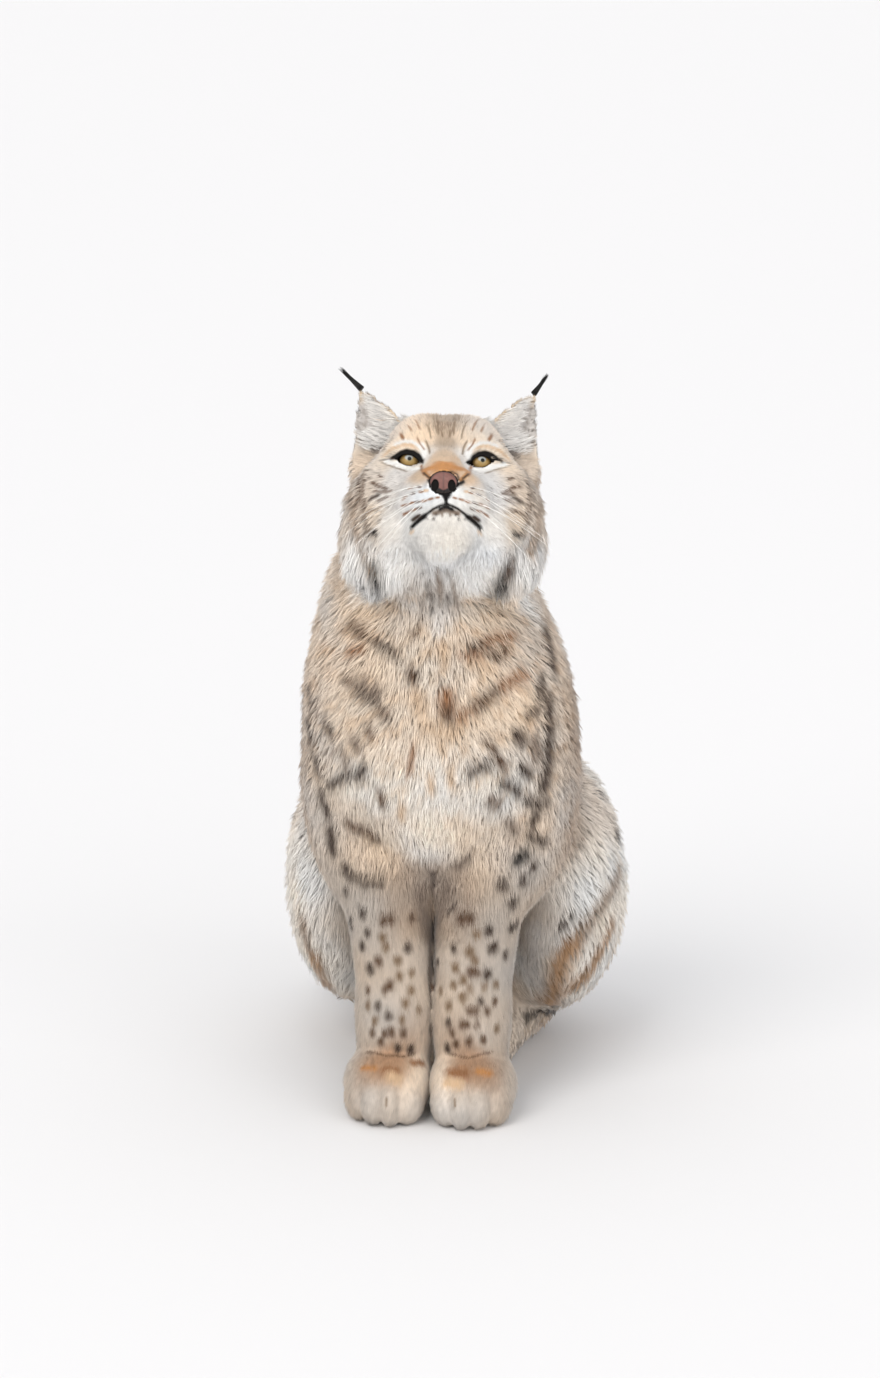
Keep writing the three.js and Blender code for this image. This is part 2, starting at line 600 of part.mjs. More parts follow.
// grown by the field, whose facets fall elsewhere, and by shifts of the head's own facets
const shifts = [[1, 0, 0], [-1, 0, 0], [0, 1, 0], [0, -1, 0], [0, 0, 1]].map((way) => way.map((v) => v * gap));
const headForEars = shifts.reduce((grown, way) => grown.add(wholeHead.translate(way)), headSolid(earClear));

function earPart(side, name) {
  return meshOf(name, earSolid(side).subtract(headForEars), material(0xb5a591, 0.9));
}

// A pencil of stiff black hair that carries on from the ear's tip, leaning outward.
function earTuft(side, name, long) {
  const axes = earAxes();
  const { up: earUp, front, tall } = axes;
  const root = axes.base.clone().addScaledVector(earUp, tall + tuft.rise).addScaledVector(front, -tuft.back);
  const outline = [[0, 0], [1, 0.02], [0.95, 0.3], [0.45, 0.7], [0, 1]];
  const profile = outline.map(([r, h]) => new THREE.Vector2(r * tuft.root, h * long));
  const made = new THREE.Mesh(new THREE.LatheGeometry(profile, 10), material(0x17130f, 0.8));
  made.name = name;
  const up = new THREE.Vector3(...(side > 0 ? tuft.leftWay : tuft.rightWay)).normalize();
  made.quaternion.setFromUnitVectors(new THREE.Vector3(0, 1, 0), up);
  made.position.set(...placed(side > 0 ? root.toArray() : mirrorX(root.toArray())));
  return made;
}

function neck() {
  const low = [-150, -110, 430], high = [150, 190, 700];
  const body = facetsInBox(wholeField, low, high, cellNeck)
    .subtract(headLine(-gap / 2)).intersect(neckLine(gap / 2));
  return body;
}

const trunkLow = [-225, -140, -60];
const trunkHigh = [225, 460, 620];
const wholeTrunk = facetsInBox(wholeField, trunkLow, trunkHigh, cellTrunk)
  .intersect(aboveFloor).subtract(neckLine(-gap / 2))
  .subtract(foreRegion(1, gap)).subtract(foreRegion(-1, gap))
  .subtract(thighRegion(1, gap)).subtract(thighRegion(-1, gap))
  .subtract(hindFootRegion(1, gap)).subtract(hindFootRegion(-1, gap))
  .subtract(tailRegion(gap))
  .subtract(boxCutter([-130, -130, -10], [130, pawBack + gap / 2, footTop]));

function chest() {
  return meshOf('chest', wholeTrunk.intersect(rumpLine(gap / 2)), material(0xcfc1ad, 0.9));
}

function rump() {
  return meshOf('rump', wholeTrunk.subtract(rumpLine(-gap / 2)), material(0xb3a28c, 0.9));
}

function foreleg(side, name) {
  const low = side > 0 ? [foreShift - 24, -90, 30] : [foreShift - 136, -90, 30];
  const high = side > 0 ? [foreShift + 136, 150, 300] : [foreShift + 24, 150, 300];
  const body = facetsInBox(frontField, low, high, cellForeleg).intersect(foreRegion(side, 0));
  return meshOf(name, body, material(0xc4b6a3, 0.9));
}

function forepaw(side, name) {
  const low = side > 0 ? [foreShift - 20, -100, -30] : [foreShift - 110, -100, -30];
  const high = side > 0 ? [foreShift + 110, 90, 90] : [foreShift + 20, 90, 90];
  const box = side > 0
    ? boxCutter([foreShift + gap / 2, -120, 0], [130, pawBack - gap / 2, footTop - gap / 2])
    : boxCutter([-130, -120, 0], [foreShift - gap / 2, pawBack - gap / 2, footTop - gap / 2]);
  const body = facetsInBox(foreField, low, high, cellForepaw).intersect(box);
  return meshOf(name, body, material(0xcdb595, 0.9));
}

function thigh(side, name) {
  const low = side > 0 ? [10, 10, 20] : [-230, 10, 20];
  const high = side > 0 ? [230, 370, 370] : [-10, 370, 370];
  const body = facetsInBox(rearField, low, high, cellThigh).intersect(thighRegion(side, 0))
    .subtract(foreRegion(side, gap)).subtract(tailRegion(gap));
  return meshOf(name, body, material(0xcdbfae, 0.9));
}

function hindFoot(side, name) {
  const low = side > 0 ? [-12, 10, -30] : [-145, 10, -30];
  const high = side > 0 ? [145, 345, 90] : [12, 345, 90];
  const body = facetsInBox(rearField, low, high, cellHindFoot)
    .intersect(hindFootRegion(side, 0)).intersect(aboveFloor).subtract(tailRegion(gap));
  return meshOf(name, body, material(0xc9b293, 0.9));
}

function tail() {
  const low = [-190, 300, -30], high = [70, 440, 130];
  const body = facetsInBox(tailedField, low, high, cellTail).intersect(tailRegion(0)).intersect(aboveFloor);
  return meshOf('tail', body, material(0x5a4c40, 0.9));
}

// the whole animal

const lynx = new THREE.Group();
lynx.name = 'lynx';
lynx.add(head(), nose());
lynx.add(eye(1, 'eye_left'), eye(-1, 'eye_right'));
lynx.add(earPart(1, 'ear_left'), earPart(-1, 'ear_right'));
lynx.add(earTuft(1, 'ear_tuft_left', tuft.leftLong), earTuft(-1, 'ear_tuft_right', tuft.rightLong));
lynx.add(meshOf('neck', neck(), material(0xc8b69e, 0.9)));
lynx.add(chest(), rump(), tail());
lynx.add(foreleg(1, 'foreleg_left'), foreleg(-1, 'foreleg_right'));
lynx.add(forepaw(1, 'forepaw_left'), forepaw(-1, 'forepaw_right'));
lynx.add(thigh(1, 'thigh_left'), thigh(-1, 'thigh_right'));
lynx.add(hindFoot(1, 'hind_foot_left'), hindFoot(-1, 'hind_foot_right'));

// The origin is on the floor, in the middle of the animal's outline seen from above.
lynx.updateMatrixWorld(true);
const outline = new THREE.Box3().setFromObject(lynx, true);
const centre = outline.getCenter(new THREE.Vector3());
lynx.position.set(-centre.x, -centre.y, -outline.min.z);

export default lynx;
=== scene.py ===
# A Eurasian lynx, sitting upright with its head lifted: a still, life-size model in its winter coat.
# Tables are in millimetres in the animal's own axes: +Z up, it faces -Y and its left side is +X.
# Head tables are in the head's level axes, from midway between the eyes, with the nose towards -Y.
# Places marked as pixels are read in the photograph's 880 by 1378 frame and carried onto the coat.

import itertools
import json
import math
import time

import bpy
import numpy as np
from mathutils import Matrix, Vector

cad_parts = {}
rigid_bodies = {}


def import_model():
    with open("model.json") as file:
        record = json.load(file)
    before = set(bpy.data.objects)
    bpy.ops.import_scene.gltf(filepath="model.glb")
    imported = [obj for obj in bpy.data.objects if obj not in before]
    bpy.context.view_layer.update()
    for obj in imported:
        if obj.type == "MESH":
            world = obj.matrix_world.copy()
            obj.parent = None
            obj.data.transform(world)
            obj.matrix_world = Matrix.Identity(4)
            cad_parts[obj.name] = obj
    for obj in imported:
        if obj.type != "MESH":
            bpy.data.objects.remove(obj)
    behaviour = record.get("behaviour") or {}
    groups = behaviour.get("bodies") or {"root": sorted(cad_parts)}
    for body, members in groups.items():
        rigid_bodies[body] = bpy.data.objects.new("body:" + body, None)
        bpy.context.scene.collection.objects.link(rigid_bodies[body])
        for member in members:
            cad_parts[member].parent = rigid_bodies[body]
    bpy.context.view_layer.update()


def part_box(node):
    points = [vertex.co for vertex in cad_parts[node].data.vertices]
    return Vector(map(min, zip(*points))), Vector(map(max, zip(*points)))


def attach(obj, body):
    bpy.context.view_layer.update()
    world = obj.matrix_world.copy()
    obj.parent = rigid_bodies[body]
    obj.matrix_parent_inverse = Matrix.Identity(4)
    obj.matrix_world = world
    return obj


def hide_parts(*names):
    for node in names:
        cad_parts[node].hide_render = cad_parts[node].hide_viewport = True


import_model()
started = time.time()


def report(stage):
    print(f"{time.time() - started:6.1f} s  {stage}")


# The photograph's camera: millimetres in the animal's axes, degrees, and the lens on a sensor this wide.
view = {"target": (5, 0, 441.3), "azimuth": 6.5, "elevation": 16, "distance": 5000, "lens": 132.6}
imageSize = (880, 1378)
sensor = 36.0

headPlace = {"at": (11, -12, 676.9), "pitch": 35.5, "yaw": 6.5, "roll": 1.5}
foreShift = -3.5  # the forelegs stand a little to the animal's right
eye = {"at": (34, 0, -6), "radius": 14}

# Body masses: eggs, and limbs that run from one place to another. Those that aren't mid are on both sides.
trunkMasses = {
    "ribs": dict(at=(0, 108, 352), size=(118, 112, 172), lean=33, mid=True, blend=1),
    "loin": dict(at=(0, 190, 245), size=(116, 108, 135), lean=38, mid=True, blend=60),
    "rump": dict(at=(0, 262, 118), size=(128, 104, 120), mid=True, blend=60),
    "breast": dict(at=(0, 6, 378), size=(102, 80, 128), lean=4, mid=True, blend=50),
    "brisket": dict(at=(0, 40, 294), size=(68, 46, 72), mid=True, blend=34),
    "neck": dict(at=(-10, 50, 500), size=(109, 98, 118), lean=12, mid=True, blend=60),
    "shoulder": dict(at=(72, 46, 392), size=(60, 78, 128), lean=14, splay=-5, blend=40),
    "upperArm": dict(at=(78, 42, 300), size=(50, 60, 88), lean=-10, blend=36),
}
foreMasses = {
    "forearm": dict(at=(48.5, 28, 275), to=(38, 16, 96), size=(49, 37), blend=30),
    "wrist": dict(at=(38, 16, 100), to=(40.5, 6, 48), size=(37, 38), blend=20),
    "paw": dict(at=(43, -10, 32), size=(45, 48, 43), blend=5),
    "toe1": dict(at=(20, -38, 22), size=(17, 24, 24), turn=8, blend=4),
    "toe2": dict(at=(36, -46, 23), size=(16, 24, 25), turn=2, blend=3.5),
    "toe3": dict(at=(53, -44, 23), size=(16, 24, 25), turn=-6, blend=3.5),
    "toe4": dict(at=(69, -32, 22), size=(16, 23, 24), turn=-14, blend=3.5),
}
hindMasses = {
    "thigh": dict(at=(112, 182, 190), size=(62, 108, 130), lean=18, blend=40),
    "haunch": dict(at=(96, 226, 132), size=(58, 90, 100), splay=14, blend=40),
    "hock": dict(at=(68, 256, 34), to=(44, 140, 29), size=(32, 29), blend=16),
    "hindPaw": dict(at=(37, 106, 22), size=(31, 46, 28), blend=12),
    "hindToes": dict(at=(36, 76, 18), size=(28, 25, 21), blend=8),
}
tailMasses = {
    "tailRoot": dict(at=(0, 338, 66), to=(-44, 378, 38), size=(36, 34), mid=True, blend=24),
    "tailEnd": dict(at=(-44, 378, 34), to=(-118, 368, 29), size=(34, 30), mid=True, blend=16),
}
headMasses = {
    "cranium": dict(at=(0, 46, -3), size=(70, 62, 50), mid=True, blend=1),
    "forehead": dict(at=(0, 18, 14), size=(58, 36, 35), mid=True, blend=16),
    "crest": dict(at=(20, 22, 26), size=(26, 28, 25), blend=12),
    "earRoot": dict(at=(74, 56, 14), size=(18, 20, 34), splay=-6, blend=12),
    "occiput": dict(at=(0, 84, -14), size=(76, 50, 56), mid=True, blend=30),
    "brow": dict(at=(34, 4, 10), size=(21, 17, 9), lean=-10, splay=8, blend=10),
    "cheek": dict(at=(44, 24, -36), size=(44, 38, 44), blend=22),
    "bridge": dict(at=(0, 8, 6), to=(0, -40, -34), size=(25, 17), mid=True, blend=14),
    "malar": dict(at=(34, 4, -26), to=(20, -24, -48), size=(17, 19), blend=16),
    "muzzle": dict(at=(0, -28, -52), size=(34, 30, 28), mid=True, blend=14),
    "pad": dict(at=(19, -36, -62), size=(22, 20, 17), turn=20, blend=10),
    "jowl": dict(at=(38, 4, -74), size=(34, 30, 26), blend=22),
    "chin": dict(at=(0, -31, -92), size=(29, 20, 19), mid=True, blend=12),
    "jaw": dict(at=(0, 4, -86), size=(50, 40, 28), mid=True, blend=22),
    "ruff": dict(at=(63, 38, -62), size=(34, 32, 54), splay=-9, blend=26),
    "ruffTip": dict(at=(60, 24, -98), size=(26, 22, 34), splay=8, blend=20),
    "gullet": dict(at=(0, 40, -84), size=(66, 50, 50), mid=True, blend=30),
    "nose": dict(at=(0, -53, -46), size=(16, 10, 13), lean=16, mid=True, blend=6),
    "lids": dict(at=(34, 0, -6), size=(16.4, 16.4, 16.4), blend=7),
}
# The ear is a cupped leaf that curls forward at both edges.
ear = {"base": (66, 46, 25), "tip": (89.5, 54, 97.5), "across": (0.657, 0, -0.757), "turn": 16,
       "inner": 37, "outer": 24, "cup": 17, "thick": 7.5, "sunk": 22, "footFront": 7,
       "bowlAt": 14, "bowl": (22, 17, 24)}


def triple(parts):
    return np.array(parts, np.float32)


def length(rows):
    return np.sqrt((rows * rows).sum(-1))


def unit(rows):
    return rows / np.maximum(length(rows)[..., None], 1e-6)


# Columns are the turned axes: lean tips the top forward, splay tips it outward, turn swings it round.
def turned(lean=0, splay=0, turn=0):
    a, b, c = np.radians([lean, splay, turn])
    x = np.array([[1, 0, 0], [0, math.cos(a), -math.sin(a)], [0, math.sin(a), math.cos(a)]])
    y = np.array([[math.cos(b), 0, math.sin(b)], [0, 1, 0], [-math.sin(b), 0, math.cos(b)]])
    z = np.array([[math.cos(c), -math.sin(c), 0], [math.sin(c), math.cos(c), 0], [0, 0, 1]])
    return (z @ y @ x).astype(np.float32)


headAxes = turned(turn=headPlace["yaw"]) @ turned(lean=-headPlace["pitch"]) @ turned(splay=headPlace["roll"])


def toHead(p):
    return (p - triple(headPlace["at"])) @ headAxes


def fromHead(q):
    return triple(q) @ headAxes.T + triple(headPlace["at"])


# the fields: negative inside the coat, positive outside, in millimetres from its outer face

def smoothMin(a, b, k):
    h = np.clip(0.5 + 0.5 * (b - a) / k, 0, 1)
    return b + (a - b) * h - k * h * (1 - h)


def smoothMax(a, b, k):
    return -smoothMin(-a, -b, k)


def eggField(p, at, size, lean=0, splay=0, turn=0):
    q = (p - triple(at)) @ turned(lean, splay, turn)
    r = triple(size)
    k0 = length(q / r)
    k1 = length(q / (r * r))
    return np.where(k0 < 1e-3, -r.min(), k0 * (k0 - 1) / np.maximum(k1, 1e-9))


def limbField(p, at, to, size):
    a = triple(at)
    along = triple(to) - a
    h = np.clip(((p - a) @ along) / (along @ along), 0, 1)
    return length(p - a - h[:, None] * along) - (size[0] + (size[1] - size[0]) * h)


def folded(p, soft):
    q = p.copy()
    q[:, 0] = np.sqrt(q[:, 0] ** 2 + soft * soft) - soft * 0.6
    return q


def joined(p, masses, soft):
    side = folded(p, soft)
    d = None
    for mass in masses.values():
        shape = {k: v for k, v in mass.items() if k not in ("mid", "blend")}
        near = (limbField if "to" in mass else eggField)(p if mass.get("mid") else side, **shape)
        d = near if d is None else smoothMin(d, near, mass["blend"])
    return d


bodyBlends = {"hind": 40, "tail": 20, "fore": 34, "between": 3}


def bodyField(p):
    trunk = joined(p, trunkMasses, 6)
    fore = joined(p - triple((foreShift, 0, 0)), foreMasses, 0.1)
    hind = joined(p, hindMasses, 0.1)
    tail = joined(p, tailMasses, 0.1)
    rear = smoothMin(smoothMin(trunk, hind, bodyBlends["hind"]), tail, bodyBlends["tail"])
    return smoothMin(smoothMin(trunk, fore, bodyBlends["fore"]), rear, bodyBlends["between"])


earUp = unit(triple(ear["tip"]) - triple(ear["base"]))
earTall = float(length(triple(ear["tip"]) - triple(ear["base"])))
earSide = triple(ear["across"])
earSide = unit(earSide - (earSide @ earUp) * earUp)
earFront = np.cross(earSide, earUp)
earTurn = math.radians(ear["turn"])
earSide, earFront = (earSide * math.cos(earTurn) - earFront * math.sin(earTurn),
                     earFront * math.cos(earTurn) + earSide * math.sin(earTurn))


# A place beside the left ear: its share of the ear's height, of its half width, and how far it lies in front.
def earPlace(q):
    r = q - triple(ear["base"])
    t = np.clip((r @ earUp) / earTall, -0.4, 1)
    b = r @ earSide
    up = np.clip(t, 0, 1)
    taper = 1 - up ** 1.5
    half = np.where(b > 0, ear["outer"] * taper ** 0.85, ear["inner"] * taper ** 0.8) + 0.5
    u = b / np.maximum(half, 3)
    cup = ear["cup"] * (1 - 0.55 * up)
    middle = -cup * (1 - np.clip(u * u, 0, 1.4)) + ear["footFront"] * (1 - up)
    slope = np.where(np.abs(u) < 1.2, 2 * cup * np.abs(u) / np.maximum(half, 3), 0)
    return t, u, half, (r @ earFront) - middle, slope, b, r @ earUp


def earField(q):
    t, u, half, front, slope, b, a = earPlace(q)
    thick = ear["thick"] * 0.5 * (1 - 0.35 * np.clip(t, 0, 1))
    sheet = (np.abs(front) - thick) / np.sqrt(1 + slope ** 2)
    edge = (np.abs(b) - half) / 1.25
    return smoothMax(smoothMax(sheet, edge, 4), np.maximum(a - earTall, -a - ear["sunk"]), 3)


# The hollow of the skull in front of the ear's foot.
earBowl = triple(ear["base"]) + earUp * ear["bowlAt"] + earFront * ear["bowlAt"]


def headField(p, depth, earDepth):
    q = toHead(p)
    side = folded(q, 0)
    d = joined(q, headMasses, 5) + depth
    d = smoothMax(d, earDepth - eggField(side, earBowl, ear["bowl"]), 10)
    return smoothMin(d, earField(side) + earDepth, 5)


bodyTop, headFoot = 700, 460  # between these heights both the body and the head count
farOff = 300
neckBlend = 30


# With no depth given this is the coat's outer face; with one it is that far inside.
def coatField(p, depth=0, earDepth=0):
    depth = np.broadcast_to(np.float32(depth), len(p))
    d = np.full(len(p), farOff, np.float32)
    low = p[:, 2] < bodyTop
    high = p[:, 2] > headFoot
    d[low] = bodyField(p[low]) + depth[low]
    head = np.full(len(p), farOff, np.float32)
    head[high] = headField(p[high], depth[high], earDepth)
    return np.maximum(smoothMin(d, head, neckBlend), -p[:, 2])


def slopeOf(field, p, step=0.7):
    rise = [field(p + step * axis) - field(p - step * axis) for axis in np.eye(3, dtype=np.float32)]
    return np.stack(rise, 1) / (2 * step)


# the view, and the places on the coat that its pixels fall on

turnRound, turnUp = np.radians([view["azimuth"], view["elevation"]])
level = math.cos(turnUp)
viewBack = triple((math.sin(turnRound) * level, -math.cos(turnRound) * level, math.sin(turnUp)))
viewRight = triple((math.cos(turnRound), math.sin(turnRound), 0))
viewTop = np.cross(viewBack, viewRight)
viewEye = triple(view["target"]) + viewBack * view["distance"]
pixelLens = view["lens"] / sensor * imageSize[1]
rayStart = view["distance"] - 620  # the animal is nowhere nearer than this
rayShare = 0.85  # of the way that is still clear


# Each pixel's ray is followed from just before the animal until it meets the coat.
def onCoat(pixels, field=coatField, steps=44):
    at = np.array(pixels, np.float32)
    rays = (-viewBack * pixelLens + (at[:, :1] - imageSize[0] / 2) * viewRight
            - (at[:, 1:2] - imageSize[1] / 2) * viewTop)
    rays = unit(rays)
    far = np.full(len(at), rayStart, np.float32)
    for _ in range(steps):
        far += rayShare * field(viewEye + rays * far[:, None])
    return viewEye + rays * far[:, None]


# The comb: at each place the lie of the hair, its length, the coat's depth, its colour and the share of
# dark tips. Each place is on both sides, except those of a coat named in `single`.
tones = {
    "white": "#fcfaf6", "milk": "#ecebe8", "cream": "#f5eee4", "pale": "#ebe4dc", "beige": "#efdcc6",
    "buff": "#dcbc98", "tan": "#dcc0a2", "brow": "#b9a794", "orange": "#c68d57", "leg": "#cfc1b2",
    "toe": "#d3c6b8", "pawTop": "#b28e70", "haze": "#a08c7a", "fawn": "#b08a66",
    "greyBeige": "#e2d3c3", "greyBrown": "#b9a592", "grey": "#8d7c6e", "taupe": "#80684f", "rust": "#9a6d4a",
    "brown": "#614733", "speck": "#6a5140", "dark": "#44342a", "black": "#0f0c0b",
}
headComb = {
    "coatFace": {
        "noseTop": ((0, -52, -34), (0, 0.8, 0.6), 2.5, 0.8, "orange", 0.08),
        "noseSide": ((17, -42, -38), (0.7, 0.6, 0.3), 2.6, 0.8, "tan", 0.04),
        "bridge": ((0, -36, -18), (0, 0.6, 0.8), 3.2, 1, "tan", 0.18),
        "bridgeTop": ((0, -20, 4), (0, 0.5, 0.85), 4.5, 1.5, "brow", 0.4),
        "browMid": ((0, -12, 22), (0, 0.6, 0.8), 7, 2.2, "brow", 0.55),
        "browInner": ((18, -14, 12), (0.25, 0.55, 0.8), 5, 1.8, "beige", 0.16),
        "forehead": ((0, 0, 38), (0, 0.75, 0.65), 11, 4, "brow", 0.6),
        "foreheadSide": ((30, 4, 30), (0.35, 0.75, 0.55), 10, 3, "greyBeige", 0.42),
        "overEye": ((34, -14, 14), (0.25, 0.55, 0.8), 4, 1.3, "beige", 0.08),
        "eyeInner": ((16, -20, -8), (0.5, 0.5, 0.6), 3, 0.9, "pale", 0.05),
        "underEye": ((36, -13, -24), (0.8, 0.45, -0.2), 4, 1.2, "pale", 0.14),
        "eyeOuter": ((54, -2, -2), (0.7, 0.7, 0.1), 6, 2, "beige", 0.25),
        "muzzleSide": ((31, -38, -58), (0.85, 0.5, -0.15), 4, 1.2, "pale", 0.06),
        "muzzleFront": ((14, -56, -64), (0.85, 0.2, -0.4), 3, 0.8, "milk", 0),
        "muzzleLow": ((24, -42, -76), (0.7, 0.4, -0.6), 4, 1.2, "milk", 0),
        "chinFront": ((0, -50, -92), (0, -0.3, -1), 5, 1.6, "milk", 0),
        "chinSide": ((24, -38, -94), (0.4, 0, -0.9), 7, 2.4, "milk", 0),
        "chinUnder": ((0, -32, -112), (0, 0.6, -0.8), 12, 4, "white", 0),
        "cheekFront": ((48, -16, -44), (0.85, 0.45, -0.3), 7, 2.2, "pale", 0.3),
        "lipCorner": ((42, -16, -74), (0.75, 0.35, -0.6), 8, 2.6, "cream", 0.12),
    },
    "coatCheeks": {
        "temple": ((62, 12, 10), (0.65, 0.7, 0.1), 9, 3, "greyBeige", 0.42),
        "crown": ((0, 30, 52), (0, 0.9, 0.45), 15, 5.4, "greyBeige", 0.5),
        "crownSide": ((40, 32, 46), (0.25, 0.9, 0.4), 13, 4.6, "greyBeige", 0.42),
        "cheek": ((70, 2, -28), (0.75, 0.5, -0.45), 11.5, 3.8, "greyBeige", 0.32),
        "cheekLow": ((64, -6, -66), (0.6, 0.3, -0.75), 15, 5, "beige", 0.28),
        "cheekBack": ((88, 24, -26), (0.5, 0.6, -0.65), 18, 6.8, "greyBeige", 0.36),
        "earFoot": ((84, 44, 8), (0.5, 0.5, -0.3), 9, 3.4, "greyBeige", 0.1),
        "earRear": ((74, 80, 10), (0.3, 0.8, -0.5), 18, 6.8, "greyBrown", 0.24),
        "poll": ((0, 92, 36), (0, 0.9, -0.5), 20, 7.6, "greyBrown", 0.3),
        "nape": ((0, 130, -14), (0, 0.5, -0.85), 30, 12, "greyBrown", 0.36),
    },
    "coatRuff": {
        "ruffTop": ((94, 34, -60), (0.35, 0.25, -0.9), 25, 9, "greyBeige", 0.36),
        "ruffMid": ((88, 18, -94), (0.15, 0.1, -1), 30, 11, "pale", 0.14),
        "ruffTip": ((66, 6, -128), (0.05, 0.05, -1), 32, 12, "pale", 0.03),
        "ruffInner": ((42, -14, -112), (0.35, 0.1, -0.95), 22, 7.5, "white", 0),
        "ruffBack": ((84, 70, -70), (0.2, 0.5, -0.85), 32, 11, "greyBrown", 0.35),
        "gullet": ((0, -4, -128), (0, 0.3, -0.95), 20, 6.8, "pale", 0.07),
    },
}
